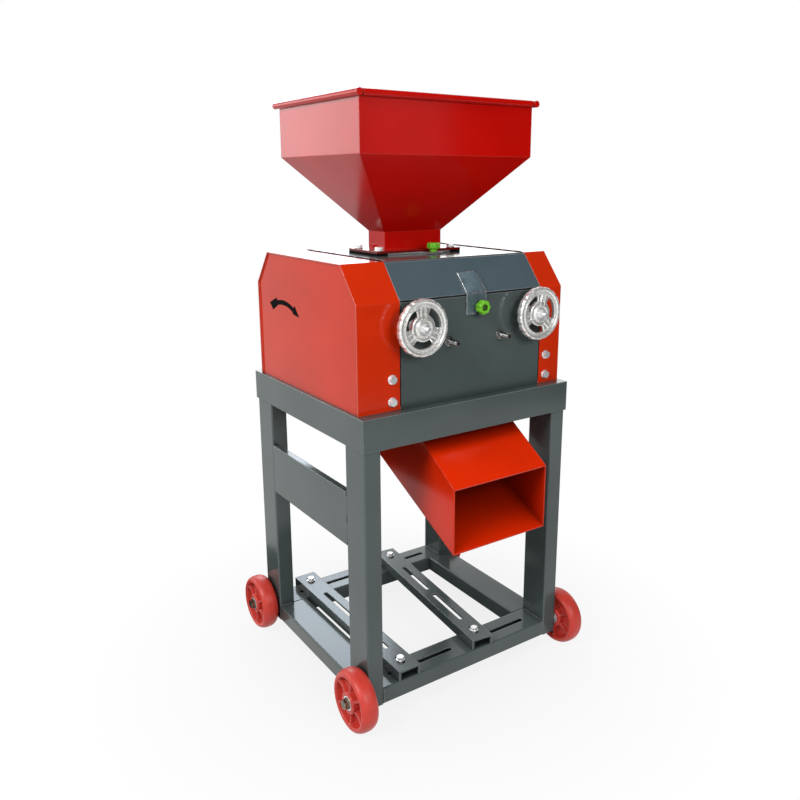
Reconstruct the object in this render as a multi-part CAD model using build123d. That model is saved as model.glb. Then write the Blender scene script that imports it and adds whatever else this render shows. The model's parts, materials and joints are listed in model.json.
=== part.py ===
from build123d import *
import math
import os

# Feed crusher: two fluted rolls in a bevelled housing, with a hopper on top and a chute below,
# on a wheeled stand with sliding motor rails.
# Millimetres. X runs to the right, Y to the back, Z up from the floor. Y = 0 is the middle of the stand
# while the pieces are made, and each piece is moved by centre_shift when it is written.

# Stand
stand_width = 460.0
stand_depth = 430.0
stand_top = 570.5
rail_height = 57.0
rail_flange = 45.0
rail_thickness = 2.5
leg_width = 33.0
leg_depth = 63.0
tube_wall = 2.5
tube_corner = 3.0
base_bottom = 30.5
base_tube_width = 63.0
base_tube_height = 32.0
base_slot_inner = 19.0
base_slot_end = 29.5
base_slot_width = 10.0
side_plate_bottom = 326.0
side_plate_height = 100.0
side_plate_lip = 12.0
side_plate_thickness = 3.0

# Wheels
wheel_radius = 56.5
wheel_width = 35.5
wheel_gap = 2.0
wheel_rim = 11.0
wheel_web = 5.0
wheel_hub_radius = 18.0
wheel_rib_count = 6
wheel_rib = 3.2
wheel_rib_recess = 5.0
axle_radius = 5.0
axle_inset = 8.5
rivet_share = 1.15
rivet_height = 2.5
wheel_bearing_radius = 13.0
wheel_bearing_width = 8.0

# Motor rails
motor_rail_width = 46.0
motor_rail_height = 20.0
motor_rail_wall = 4.0
motor_slot_length = 115.0
motor_slot_width = 10.0
motor_slot_bridge = 22.0
motor_slot_offset = -11.0
clamp_slot_length = 26.0
left_rail_inset = 27.0
right_rail_inset = 35.5
right_rail_angle = 5.5
clamp_bolt_radius = 4.0

# Housing
housing_inset = 4.5
housing_depth = 384.0
housing_height = 246.0
bevel_depth = 50.0
bevel_height = 62.0
fold_radius = 4.0
left_guard_width = 84.0
right_guard_width = 52.0
guard_sheet = 2.0
guard_lip = 3.0
panel_sheet = 3.0
wall_thickness = 12.0
seam = 2.5
floor_sheet = 3.0
guard_bolt_inset = 17.0
guard_bolt_low = 15.5
guard_bolt_spacing = 39.0
guard_bolt_radius = 4.0
guard_tab = 30.0
guard_tab_thickness = 4.0

# Rolls and their drive
feed_y = -4.0
roll_height = 141.5
roll_radius = 54.0
roll_end_gap = 5.1
roll_gap = 2.0
flute_count = 48
flute_depth = 2.4
shaft_radius = 17.5
journal_radius = 15.0
gear_module = 4.0
drive_teeth = 24
driven_teeth = 31
gear_width = 25.0
gear_backlash = 0.5
gear_offset = 5.0
pulley_radius = 85.0
pulley_width = 35.0
pulley_groove_pitch = 15.0
pulley_groove_depth = 11.0
pulley_groove_top = 13.0
pulley_groove_bottom = 8.0
pulley_hole_count = 5
pulley_groove_count = 2
pulley_offset = 5.0
shaft_stub = 4.0
shaft_chamfer = 1.5
shaft_gap = 2.0

# Bearings and gap adjustment
bearing_radius = 31.0
bearing_width = 16.0
block_width = 30.0
block_height = 80.0
block_cheek = 7.0
block_nose = 27.0
block_side_gap = 0.4
slide_gap = 0.3
guide_height = 10.0
guide_depth = 24.0
guide_overrun = 2.0
gap_travel = 4.0
screw_radius = 8.0
screw_engagement = 20.0
screw_hole_spare = 1.0
screw_bar_thickness = 12.0
screw_bar_up = 23.0
screw_bar_down = 54.0
handwheel_radius = 49.5
handwheel_rim = 14.0
handwheel_rim_depth = 13.0
handwheel_hub_radius = 15.0
handwheel_hub_length = 27.0
handwheel_hub_step = 3.0
handwheel_rim_setback = 2.0
handwheel_standoff = 8.0
handwheel_spoke = 12.0
handwheel_spoke_rib = 3.0
handwheel_spoke_count = 3
handwheel_grip_count = 18
handwheel_grip_radius = 5.0
handwheel_grip_bite = 1.4
left_spoke_angle = 90.0
right_spoke_angle = 75.0
lock_stud_radius = 5.0
lock_stud_reach = 27.0
lock_stud_drop = 35.0
left_lock_gap = 24.6
right_lock_gap = 21.6

# Inspection cover
clasp_offset = 2.0
clasp_width = 44.0
clasp_thickness = 3.0
clasp_drop = 34.5
clasp_rise = 36.0
clasp_knob_shift = 4.0
clasp_knob_drop = 21.5
knob_radius = 15.0
knob_height = 19.0
knob_stud_radius = 4.0
knob_lobes = 7

# Hopper and feed gate
hopper_offset = -22.0
hopper_width = 364.0
hopper_depth = 290.0
hopper_band = 95.5
hopper_taper = 133.0
neck_border = 30.5
neck_depth = 56.0
neck_height = 33.0
hopper_sheet = 2.0
rim_radius = 5.8
rim_overhang = 3.6
rim_lift = 3.0
rim_notch = 2.0
flange_margin = 51.5
flange_depth = 100.0
flange_thickness = 4.0
flange_bolt_edge = 13.0
flange_bolt_inset = 14.0
flange_bolt_radius = 4.0
gate_thickness = 4.0
gate_side_lap = 6.5
gate_overlap = 8.0
gate_tab_width = 30.0
gate_tab_reach = 26.0
gate_knob_offset = 20.0
gate_knob_gap = 2.5
gate_knob_radius = 12.5
gate_knob_height = 17.0

# Discharge chute
chute_width = 212.0
chute_reach = 277.0
chute_mouth_bottom = 319.0
chute_mouth_top = 440.0
chute_floor_slope = 26.0
chute_roof_slope = 33.0
chute_rear = 112.0
chute_sheet = 2.0

# Clearances
running_gap = 0.05
hole_gap = 0.5
seat_gap = 0.3

# Hex fasteners, as shares of the shank radius
hex_share = 1.6
washer_share = 2.1
head_share = 1.3
washer_thickness = 1.6

# Places that follow from the sizes
leg_outer_x = stand_width / 2 - rail_thickness
leg_outer_y = stand_depth / 2 - rail_thickness
leg_inner_x = leg_outer_x - leg_width
leg_inner_y = leg_outer_y - leg_depth
base_slot_outer = leg_inner_x - base_slot_end
base_top = base_bottom + base_tube_height
base_tube_inner_x = leg_outer_x - base_tube_width
base_tube_inner_y = leg_outer_y - base_tube_width
clamp_y = leg_outer_y - base_tube_width / 2
motor_rail_top = base_top + motor_rail_height
left_rail_x = -base_slot_outer + left_rail_inset
right_rail_x = base_slot_inner + right_rail_inset
wheel_x = leg_outer_x + wheel_gap + wheel_width / 2
wheel_y = leg_outer_y - axle_inset
housing_width = stand_width - 2 * housing_inset
housing_left = -housing_width / 2
housing_right = housing_width / 2
chamber_left = housing_left + left_guard_width
chamber_right = housing_right - right_guard_width
chamber_x = (chamber_left + chamber_right) / 2
inner_left = chamber_left + wall_thickness
inner_right = chamber_right - wall_thickness
half_depth = housing_depth / 2
top_half = half_depth - bevel_depth
housing_top = stand_top + housing_height
bevel_bottom = housing_top - bevel_height
roll_z = stand_top + roll_height
rear_roll_y = feed_y + roll_radius + roll_gap / 2
front_roll_y = feed_y - roll_radius - roll_gap / 2
gear_left = chamber_right + gear_offset
shaft_right = gear_left + gear_width + shaft_stub
pulley_right = chamber_left - pulley_offset
shaft_left = pulley_right - pulley_width - shaft_stub
block_left_x = inner_left + block_side_gap + block_width / 2
block_right_x = inner_right - block_side_gap - block_width / 2
roll_length = block_right_x - block_left_x - block_width - 2 * roll_end_gap
block_front = front_roll_y - bearing_radius - block_nose
block_rear_reach = bearing_radius + block_cheek
panel_front = -half_depth
screw_bar_rear = panel_front + panel_sheet + screw_bar_thickness
handwheel_rear = panel_front - handwheel_standoff
flange_bottom = housing_top + gate_thickness
flange_top = flange_bottom + flange_thickness
neck_top = flange_top + neck_height
taper_top = neck_top + hopper_taper
band_top = taper_top + hopper_band
flange_width = inner_right - inner_left - 2 * flange_margin
neck_width = flange_width - 2 * neck_border
gate_width = neck_width + 2 * gate_side_lap
flange_bolt_x = flange_width / 2 - flange_bolt_edge
flange_bolt_y = flange_depth / 2 - flange_bolt_inset
hopper_x = chamber_x + hopper_offset
gate_knob_x = hopper_x + gate_knob_offset
gate_knob_y = feed_y - flange_depth / 2 - gate_knob_radius - gate_knob_gap
left_lock_x = block_left_x + handwheel_radius + left_lock_gap
right_lock_x = block_right_x - handwheel_radius - right_lock_gap
clasp_x = chamber_x + clasp_offset
clasp_knob_z = bevel_bottom - clasp_knob_drop
clasp_knob_x = clasp_x + clasp_knob_shift
centre_shift = (chute_reach - wheel_y - wheel_radius) / 2

parts = {}


def corner_box(x0, x1, y0, y1, z0, z1):
    """Box between two opposite corners."""
    middle = Pos((x0 + x1) / 2, (y0 + y1) / 2, (z0 + z1) / 2)
    return middle * Box(x1 - x0, y1 - y0, z1 - z0)


def polygon(points):
    """Flat face inside a closed outline."""
    return make_face(Polyline(*points, close=True))


def along_x(face, x0, x1):
    """Solid of a face drawn as (y, z), from x0 to x1."""
    return extrude(Plane.YZ.offset(x0) * face, amount=x1 - x0)


def disc(radius, z0, z1):
    """Round bar about the local Z axis."""
    return extrude(Plane.XY.offset(z0) * Circle(radius), amount=z1 - z0)


def ring(outer, inner, z0, z1):
    """Round tube about the local Z axis."""
    return extrude(Plane.XY.offset(z0) * (Circle(outer) - Circle(inner)), amount=z1 - z0)


def turned(points):
    """Solid turned about the local Z axis from (radius, z) points."""
    return revolve(Plane.XZ * polygon(points), Axis.Z)


def hexagon(radius, z0, z1):
    """Hex prism about the local Z axis; radius is half the width across its flats."""
    outline = RegularPolygon(radius, 6, major_radius=False)
    return extrude(Plane.XY.offset(z0) * outline, amount=z1 - z0)


def to_right(x, y, z):
    """Place that turns the local Z axis to +X."""
    return Pos(x, y, z) * Rot(0, 90, 0)


def to_left(x, y, z):
    """Place that turns the local Z axis to -X."""
    return Pos(x, y, z) * Rot(0, -90, 0)


def to_front(x, y, z):
    """Place that turns the local Z axis to -Y."""
    return Pos(x, y, z) * Rot(90, 0, 0)


def to_rear(x, y, z):
    """Place that turns the local Z axis to +Y."""
    return Pos(x, y, z) * Rot(-90, 0, 0)


def tube_face(width, depth):
    """Cross-section of a rectangular tube with rounded outer corners."""
    return RectangleRounded(width, depth, tube_corner) - Rectangle(width - 2 * tube_wall, depth - 2 * tube_wall)


def slot_x(x0, x1, y, width, z0, z1):
    """Cutter for a round-ended slot along X."""
    outline = SlotOverall(x1 - x0, width)
    return extrude(Pos((x0 + x1) / 2, y, z0) * outline, amount=z1 - z0)


def slot_y(y0, y1, x, width, z0, z1):
    """Cutter for a round-ended slot along Y."""
    outline = Rot(0, 0, 90) * SlotOverall(y1 - y0, width)
    return extrude(Pos(x, (y0 + y1) / 2, z0) * outline, amount=z1 - z0)


def bolt(radius, grip, nut=True):
    """Hex bolt with washers: local Z = 0 is the seat under the head, and the shank runs down by grip."""
    head = head_share * radius
    washer_radius = washer_share * radius
    solid = disc(washer_radius, 0, washer_thickness)
    solid += hexagon(hex_share * radius, washer_thickness, washer_thickness + head)
    end = -grip - washer_thickness - head - radius
    solid += disc(radius, end if nut else -grip, washer_thickness)
    if nut:
        solid += disc(washer_radius, -grip - washer_thickness, -grip)
        solid += hexagon(hex_share * radius, -grip - washer_thickness - head, -grip - washer_thickness)
    return solid


# Stand

def make_top_frame():
    """Angle-iron ring: a flat flange on top and a skirt around the legs."""
    x = stand_width / 2
    y = stand_depth / 2
    skirt = corner_box(-x, x, -y, y, stand_top - rail_height, stand_top)
    skirt -= corner_box(-leg_outer_x, leg_outer_x, -leg_outer_y, leg_outer_y,
                        stand_top - rail_height, stand_top - rail_thickness)
    opening_x = x - rail_flange
    opening_y = y - rail_flange
    return skirt - corner_box(-opening_x, opening_x, -opening_y, opening_y,
                              stand_top - rail_thickness, stand_top)


def make_leg(side, end):
    """Upright tube, with the cross hole of its wheel axle in its outer wall."""
    x = side * (leg_outer_x - leg_width / 2)
    y = end * (leg_outer_y - leg_depth / 2)
    height = stand_top - rail_thickness - base_bottom
    leg = extrude(Pos(x, y, base_bottom) * tube_face(leg_width, leg_depth), amount=height)
    place = to_right if side > 0 else to_left
    hole = place(side * leg_outer_x, end * wheel_y, wheel_radius)
    return leg - hole * disc(axle_radius + running_gap, -1.5 * tube_wall, tube_wall)


def make_cross_tube(end):
    """Front or rear base tube, with two slots for the motor rails through its top and bottom walls."""
    y = end * clamp_y
    place = Pos(y, (base_bottom + base_top) / 2)
    tube = along_x(place * tube_face(base_tube_width, base_tube_height), -leg_inner_x, leg_inner_x)
    for side in (-1, 1):
        start = min(side * base_slot_inner, side * base_slot_outer)
        stop = max(side * base_slot_inner, side * base_slot_outer)
        tube -= slot_x(start, stop, y, base_slot_width, base_bottom, base_top)
    return tube


def make_side_tube(side):
    """Left or right base tube, between the legs."""
    x = side * (leg_outer_x - base_tube_width / 2)
    y = min(base_tube_inner_y, leg_inner_y)
    tube = extrude(tube_face(base_tube_width, base_tube_height), amount=2 * y)
    return to_rear(x, -y, (base_bottom + base_top) / 2) * tube


def make_side_plate():
    """Bare plate between the left legs, with its top edge folded inwards."""
    top = side_plate_bottom + side_plate_height
    plate = corner_box(-leg_outer_x, -leg_outer_x + side_plate_thickness, -leg_inner_y, leg_inner_y,
                       side_plate_bottom, top)
    plate += corner_box(-leg_outer_x, -leg_outer_x + side_plate_lip, -leg_inner_y, leg_inner_y,
                        top - side_plate_thickness, top)
    return plate


# Wheels

def make_wheel(side, end):
    """Moulded wheel: crowned rim, web, ribs on both faces, and a hub bored for its bearings."""
    half = wheel_width / 2
    inner = wheel_radius - wheel_rim
    edge = wheel_rim / 3
    wheel = turned([(inner, -half), (wheel_radius - edge, -half), (wheel_radius - edge / 3, -half + edge / 2),
                    (wheel_radius, -half + 1.6 * edge), (wheel_radius, half - 1.6 * edge),
                    (wheel_radius - edge / 3, half - edge / 2), (wheel_radius - edge, half), (inner, half)])
    wheel += ring(inner + edge / 2, wheel_hub_radius / 2, -wheel_web / 2, wheel_web / 2)
    wheel += disc(wheel_hub_radius, -half, half)
    rib_height = wheel_width - 2 * wheel_rib_recess
    rib_length = inner - wheel_hub_radius + edge
    rib_middle = wheel_hub_radius + rib_length / 2 - edge / 2
    for place in PolarLocations(rib_middle, wheel_rib_count):
        wheel += place * Box(rib_length, wheel_rib, rib_height)
    wheel -= disc(0.7 * wheel_bearing_radius, -half, half)
    for z in (-half, half - wheel_bearing_width):
        wheel -= disc(wheel_bearing_radius + running_gap, z, z + wheel_bearing_width)
    place = to_right if side > 0 else to_left
    return place(side * wheel_x, end * wheel_y, wheel_radius) * wheel


def bearing(radius, bore, width):
    """Ball bearing: two rings with a recessed shield between them."""
    land = 0.28 * (radius - bore)
    recess = 0.08 * width
    return turned([(bore, 0), (bore + land, 0), (bore + land, recess), (radius - land, recess),
                   (radius - land, 0), (radius, 0), (radius, width), (radius - land, width),
                   (radius - land, width - recess), (bore + land, width - recess), (bore + land, width),
                   (bore, width)])


def corner_places():
    """Axle places at the outer leg faces, with local Z pointing outwards."""
    places = []
    for side in (-1, 1):
        place = to_right if side > 0 else to_left
        for end in (-1, 1):
            places.append(place(side * leg_outer_x, end * wheel_y, wheel_radius))
    return places


def make_wheel_bearings():
    """Two bearings in each wheel hub."""
    solids = []
    for place in corner_places():
        for z in (wheel_gap, wheel_gap + wheel_width - wheel_bearing_width):
            ball_bearing = bearing(wheel_bearing_radius, axle_radius + running_gap, wheel_bearing_width)
            solids.append(place * Pos(0, 0, z) * ball_bearing)
    return solids


def make_wheel_axles():
    """Axle bolt of each wheel, with its spacer against the leg and its end riveted inside the tube."""
    solids = []
    for place in corner_places():
        axle = Pos(0, 0, wheel_gap + wheel_width) * bolt(axle_radius, wheel_gap + wheel_width, nut=False)
        axle += disc(1.5 * axle_radius, 0, wheel_gap)
        axle += disc(axle_radius, -tube_wall, 0)
        axle += disc(rivet_share * axle_radius, -tube_wall - rivet_height, -tube_wall)
        solids.append(place * axle)
    return solids


# Motor rails

def make_motor_rail(x, angle):
    """Channel with its web on top: two motor slots, and a clamp slot at each end."""
    half = motor_rail_width / 2
    rail = corner_box(-half, half, -leg_outer_y, leg_outer_y, base_top, motor_rail_top)
    rail -= corner_box(-half + motor_rail_wall, half - motor_rail_wall, -leg_outer_y, leg_outer_y,
                       base_top, motor_rail_top - motor_rail_wall)
    middle = (motor_slot_length + motor_slot_bridge) / 2
    for y in (motor_slot_offset - middle, motor_slot_offset + middle):
        rail -= slot_y(y - motor_slot_length / 2, y + motor_slot_length / 2, 0, motor_slot_width,
                       base_top, motor_rail_top)
    for y in (-clamp_y, clamp_y):
        rail -= slot_y(y - clamp_slot_length / 2, y + clamp_slot_length / 2, 0, motor_slot_width,
                       base_top, motor_rail_top)
    return Pos(x, 0, 0) * Rot(0, 0, -angle) * rail


def make_rail_bolts(x, angle):
    """Clamp bolts through a motor rail and the two cross tubes."""
    lean = clamp_y * math.tan(math.radians(angle))
    grip = motor_rail_top - base_bottom
    clamp = bolt(clamp_bolt_radius, grip)
    return [Pos(x + end * lean, end * clamp_y, motor_rail_top) * clamp for end in (-1, 1)]


# Housing

def housing_face(inset, base):
    """Housing cross-section as (y, z), drawn in by inset at its front, top and rear, down to base."""
    low = base - inset
    outline = polygon([(-half_depth, low), (-half_depth, bevel_bottom), (-top_half, housing_top),
                       (top_half, housing_top), (half_depth, bevel_bottom), (half_depth, low)])
    folds = [vertex for vertex in outline.vertices() if vertex.Y > low + 1.0]
    outline = fillet(folds, fold_radius)
    if inset == 0:
        return outline
    return offset(outline, amount=-inset, kind=Kind.INTERSECTION)


def skin(y0, y1, z0, z1):
    """Stretch of the chamber's outer sheet that lies within the given limits."""
    shell = housing_face(0, stand_top) - housing_face(panel_sheet, stand_top)
    sheet = along_x(shell, chamber_left, chamber_right)
    return sheet & corner_box(chamber_left, chamber_right, y0, y1, z0, z1)


def make_front_panel():
    """Front sheet with holes for the screws and lock studs, and the weld stud of the cover's knob."""
    panel = skin(-half_depth, 0, stand_top, bevel_bottom - seam / 2)
    for x in (block_left_x, block_right_x):
        panel -= to_front(x, panel_front + panel_sheet, roll_z) * disc(screw_radius + hole_gap, 0, panel_sheet)
    for x in (left_lock_x, right_lock_x):
        place = to_front(x, panel_front + panel_sheet, roll_z - lock_stud_drop)
        panel -= place * disc(lock_stud_radius + running_gap, 0, panel_sheet)
    stud = disc(knob_stud_radius, -panel_sheet / 2, clasp_thickness + seat_gap + 0.75 * knob_height)
    return panel + to_front(clasp_knob_x, panel_front, clasp_knob_z) * stud


def make_rear_panel():
    """Rear sheet, folded once to follow the rear bevel."""
    return skin(top_half, half_depth, stand_top, housing_top)


def make_top_plate():
    """Top sheet with the feed opening and the holes of the hopper bolts."""
    plate = skin(-top_half + seam / 2, top_half, housing_top - panel_sheet, housing_top)
    x = neck_width / 2 - hopper_sheet
    y = neck_depth / 2 - hopper_sheet
    plate -= corner_box(hopper_x - x, hopper_x + x, feed_y - y, feed_y + y, housing_top - panel_sheet, housing_top)
    for place in flange_bolt_places(housing_top - panel_sheet):
        plate -= place * disc(flange_bolt_radius + running_gap, 0, panel_sheet)
    return plate


def make_cover_seal():
    """Rubber strip in the seam under the inspection cover."""
    return skin(-half_depth, 0, bevel_bottom - seam / 2, bevel_bottom + seam / 2)


def make_inspection_cover():
    """Bevelled sheet over the rolls, which lifts off."""
    return skin(-half_depth, -top_half - seam / 2, bevel_bottom + seam / 2 + seat_gap, housing_top)


def make_clasp_bracket():
    """Bent strip on the cover, with a slot open at its bottom end for the knob's stud."""
    lean = math.atan2(bevel_depth, bevel_height)
    back = seat_gap
    front = back + clasp_thickness
    fold = bevel_bottom + seam + front * math.tan(lean / 2)
    bottom = bevel_bottom - clasp_drop

    def on_bevel(distance, rise):
        """Point that stands off the bevel by distance, at the height of rise above its foot."""
        y = -half_depth + rise * math.tan(lean) - distance * math.cos(lean)
        return (y, bevel_bottom + rise + distance * math.sin(lean))

    strip = polygon([(-half_depth - back, bottom), (-half_depth - front, bottom),
                     (-half_depth - front, fold), on_bevel(clasp_thickness, clasp_rise),
                     on_bevel(0, clasp_rise), on_bevel(0, seam + seat_gap),
                     (-half_depth - back, bevel_bottom + seam + seat_gap)])
    bracket = along_x(strip, clasp_x - clasp_width / 2, clasp_x + clasp_width / 2)
    width = 2 * (knob_stud_radius + hole_gap)
    slot = corner_box(clasp_knob_x - width / 2, clasp_knob_x + width / 2,
                      -half_depth - front, -half_depth - back, bottom, clasp_knob_z)
    slot += to_front(clasp_knob_x, -half_depth - back, clasp_knob_z) * disc(width / 2, 0, clasp_thickness)
    return bracket - slot


def star_knob(radius, height, bore, bore_depth):
    """Lobed hand knob on a round neck; local Z = 0 is its seat."""
    neck = 0.28 * height
    knob = disc(0.55 * radius, 0, neck)
    body = extrude(Plane.XY.offset(neck) * Circle(0.8 * radius), amount=height - neck)
    lobe = 0.26 * radius
    for place in PolarLocations(radius - lobe, knob_lobes):
        body += place * disc(lobe, neck, height)
    body &= turned([(0, neck), (radius, neck), (radius, 0.8 * height), (0.8 * radius, height), (0, height)])
    return knob + body - disc(bore, 0, bore_depth)


def make_cover_knob():
    """Knob that clamps the cover's bracket on its stud."""
    knob = star_knob(knob_radius, knob_height, knob_stud_radius + running_gap, 0.8 * knob_height)
    seat = panel_front - 2 * seat_gap - clasp_thickness
    return to_front(clasp_knob_x, seat, clasp_knob_z) * knob


def guard_bolt_places():
    """Bolt seats on the front and rear faces of both guards, with local Z pointing outwards."""
    places = []
    for x in (chamber_left - guard_bolt_inset, chamber_right + guard_bolt_inset):
        for rise in (guard_bolt_low, guard_bolt_low + guard_bolt_spacing):
            places.append(to_front(x, -half_depth, stand_top + rise))
            places.append(to_rear(x, half_depth, stand_top + rise))
    return places


def make_guard(x_outer, x_inner):
    """Folded end guard: a side plate set in behind a lip, open towards the chamber and at the bottom."""
    side = 1 if x_outer > x_inner else -1
    x0 = min(x_outer, x_inner)
    x1 = max(x_outer, x_inner)
    plate_outer = x_outer - side * guard_lip
    plate_inner = plate_outer - side * guard_sheet
    guard = along_x(housing_face(0, stand_top), x0, x1)
    hollow = housing_face(guard_sheet, stand_top)
    guard -= along_x(hollow, min(x_inner, plate_inner), max(x_inner, plate_inner))
    guard -= along_x(hollow, min(x_outer, plate_outer), max(x_outer, plate_outer))
    for place in guard_bolt_places():
        guard -= place * disc(guard_bolt_radius + running_gap, -guard_sheet, 0)
    return guard


def make_guard_bolts():
    """Bolts of both guards, into the tabs of the roll walls."""
    grip = guard_sheet + guard_tab_thickness
    return [place * bolt(guard_bolt_radius, grip) for place in guard_bolt_places()]


def make_roll_wall(side):
    """Thick end wall with its shaft openings, and tabs that hold the guard's bolts."""
    x_outer = chamber_right if side > 0 else chamber_left
    x_inner = inner_right if side > 0 else inner_left
    wall = along_x(housing_face(panel_sheet, stand_top), min(x_inner, x_outer), max(x_inner, x_outer))
    middle = (x_inner + x_outer) / 2
    cut = wall_thickness / 2
    clearance = journal_radius + shaft_gap
    wall -= to_right(middle, rear_roll_y, roll_z) * disc(clearance, -cut, cut)
    if side > 0:
        slot = Pos(front_roll_y - gap_travel / 2, roll_z) * SlotOverall(2 * clearance + gap_travel, 2 * clearance)
        wall -= along_x(slot, x_inner, x_outer)
    tab_outer = x_outer + side * guard_tab
    tab_top = stand_top + guard_bolt_low + guard_bolt_spacing + guard_bolt_inset
    tab_front = half_depth - guard_sheet
    for end in (-1, 1):
        y = sorted((end * (tab_front - guard_tab_thickness), end * tab_front))
        tab = corner_box(min(x_outer, tab_outer), max(x_outer, tab_outer), y[0], y[1], stand_top, tab_top)
        foot = sorted((end * (tab_front - guard_tab), end * tab_front))
        gusset = sorted((x_outer, x_outer + side * guard_tab_thickness))
        wall += tab + corner_box(gusset[0], gusset[1], foot[0], foot[1], stand_top, tab_top)
    depth = guard_sheet + guard_tab_thickness
    for place in guard_bolt_places():
        wall -= place * disc(guard_bolt_radius + running_gap, -depth, 0)
    return wall


def make_chamber_floor():
    """Plate under the rolls, with the opening into the chute."""
    y = half_depth - panel_sheet
    plate = corner_box(inner_left, inner_right, -y, y, stand_top, stand_top + floor_sheet)
    x = chute_width / 2 - chute_sheet
    outline = chute_outline(chute_reach, stand_top)
    opening = corner_box(chamber_x - x, chamber_x + x, outline[2][0] + chute_sheet, chute_rear - chute_sheet,
                         stand_top, stand_top + floor_sheet)
    return plate - opening


def chute_outline(reach, top):
    """Side outline of the chute as (y, z): its floor and roof lines run from the mouth at reach to top."""
    floor_rise = math.tan(math.radians(chute_floor_slope))
    roof_rise = math.tan(math.radians(chute_roof_slope))
    forward = reach - chute_reach
    low = chute_mouth_bottom - forward * floor_rise
    high = chute_mouth_top - forward * roof_rise
    roof_end = -chute_reach + (top - chute_mouth_top) / roof_rise
    floor_end = chute_mouth_bottom + (chute_rear + chute_reach) * floor_rise
    return [(-reach, low), (-reach, high), (roof_end, top), (chute_rear, top), (chute_rear, floor_end)]


def make_chute():
    """Slanting sheet chute, open at its top and at its mouth."""
    half = chute_width / 2
    inner = half - chute_sheet
    chute = along_x(polygon(chute_outline(chute_reach, stand_top)), chamber_x - half, chamber_x + half)
    beyond = 3 * chute_sheet
    hollow = offset(polygon(chute_outline(chute_reach + beyond, stand_top + beyond)),
                    amount=-chute_sheet, kind=Kind.INTERSECTION)
    return chute - along_x(hollow, chamber_x - inner, chamber_x + inner)


# Rolls and drive

def make_roll(y):
    """Crushing roll with sawtooth flutes along its length."""
    points = []
    for index in range(flute_count):
        angle = 2 * math.pi * index / flute_count
        steep = angle + 0.25 * 2 * math.pi / flute_count
        root = roll_radius - flute_depth
        points.append((roll_radius * math.cos(angle), roll_radius * math.sin(angle)))
        points.append((root * math.cos(steep), root * math.sin(steep)))
    outline = polygon(points) - Circle(shaft_radius + running_gap)
    return to_right(chamber_x - roll_length / 2, y, roll_z) * extrude(outline, amount=roll_length)


def make_shaft(y, left, right):
    """Stepped shaft: thick through the roll and thinner in the bearings."""
    x0 = chamber_x - roll_length / 2
    shaft = disc(shaft_radius, x0, x0 + roll_length) + disc(journal_radius, left, right)
    edges = shaft.edges().group_by(Axis.Z)
    shaft = chamfer(edges[0] + edges[-1], shaft_chamfer)
    return to_right(0, y, roll_z) * shaft


def gear_face(teeth, first_tooth):
    """Involute gear outline with its bore; first_tooth is the angle of one tooth's middle, in degrees."""
    pitch = gear_module * teeth / 2
    base = pitch * math.cos(math.radians(20))
    half_tooth = math.pi / (2 * teeth) - gear_backlash / (2 * pitch)

    def involute(radius):
        """Involute angle at a radius."""
        pressure = math.acos(min(1.0, base / radius))
        return math.tan(pressure) - pressure

    radii = [pitch - 1.25 * gear_module, pitch, pitch + gear_module]
    spread = [half_tooth + involute(pitch) - involute(radius) for radius in radii]
    points = []
    for index in range(teeth):
        middle = math.radians(first_tooth) + 2 * math.pi * index / teeth
        for radius, width in zip(radii, spread):
            points.append((radius * math.cos(middle - width), radius * math.sin(middle - width)))
        for radius, width in zip(reversed(radii), reversed(spread)):
            points.append((radius * math.cos(middle + width), radius * math.sin(middle + width)))
    return polygon(points) - Circle(journal_radius + running_gap)


def make_gear(y, teeth, first_tooth):
    """Spur gear with a hub and a thinner web."""
    gear = extrude(gear_face(teeth, first_tooth), amount=gear_width)
    recess = gear_width / 4
    web_outer = gear_module * teeth / 2 - 3 * gear_module
    web_inner = 1.6 * journal_radius
    for z in (0, gear_width - recess):
        gear -= ring(web_outer, web_inner, z, z + recess)
    return to_right(gear_left, y, roll_z) * gear


def make_pulley():
    """Two-groove V-belt pulley with a hub, a web and lightening holes."""
    outline = [(0, 0), (pulley_radius, 0)]
    root = pulley_radius - pulley_groove_depth
    first = (pulley_width - (pulley_groove_count - 1) * pulley_groove_pitch) / 2
    for index in range(pulley_groove_count):
        z = first + index * pulley_groove_pitch
        outline += [(pulley_radius, z - pulley_groove_top / 2), (root, z - pulley_groove_bottom / 2),
                    (root, z + pulley_groove_bottom / 2), (pulley_radius, z + pulley_groove_top / 2)]
    outline += [(pulley_radius, pulley_width), (0, pulley_width)]
    pulley = turned(outline)
    web_outer = pulley_radius - 2 * pulley_groove_depth
    web_inner = 1.7 * journal_radius
    recess = pulley_width / 3
    for z in (0, pulley_width - recess):
        pulley -= ring(web_outer, web_inner, z, z + recess)
    hole = (web_outer - web_inner) / 3
    for place in PolarLocations((web_outer + web_inner) / 2, pulley_hole_count):
        pulley -= place * disc(hole, 0, pulley_width)
    pulley -= disc(journal_radius + running_gap, 0, pulley_width)
    return to_left(pulley_right, rear_roll_y, roll_z) * pulley


# Bearings and gap adjustment

def bearing_place(x, y):
    """Place of a roll bearing, centred in its block."""
    return to_right(x - bearing_width / 2, y, roll_z)


def make_bearing_block(x, y, nose):
    """Block around a roll bearing; its nose reaches forwards and takes the adjusting screw."""
    half = block_height / 2
    front = y - bearing_radius - (block_nose if nose else block_cheek)
    block = corner_box(x - block_width / 2, x + block_width / 2, front, y + block_rear_reach,
                       roll_z - half, roll_z + half)
    block = chamfer(block.edges().filter_by(Axis.X), block_cheek / 2)
    block -= bearing_place(x, y) * disc(bearing_radius + running_gap, 0, bearing_width)
    block -= to_right(x, y, roll_z) * disc(0.75 * bearing_radius, -block_width / 2, block_width / 2)
    if nose:
        depth = screw_engagement + gap_travel + screw_hole_spare
        block -= to_rear(x, front, roll_z) * disc(screw_radius + running_gap, 0, depth)
    return block


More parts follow.
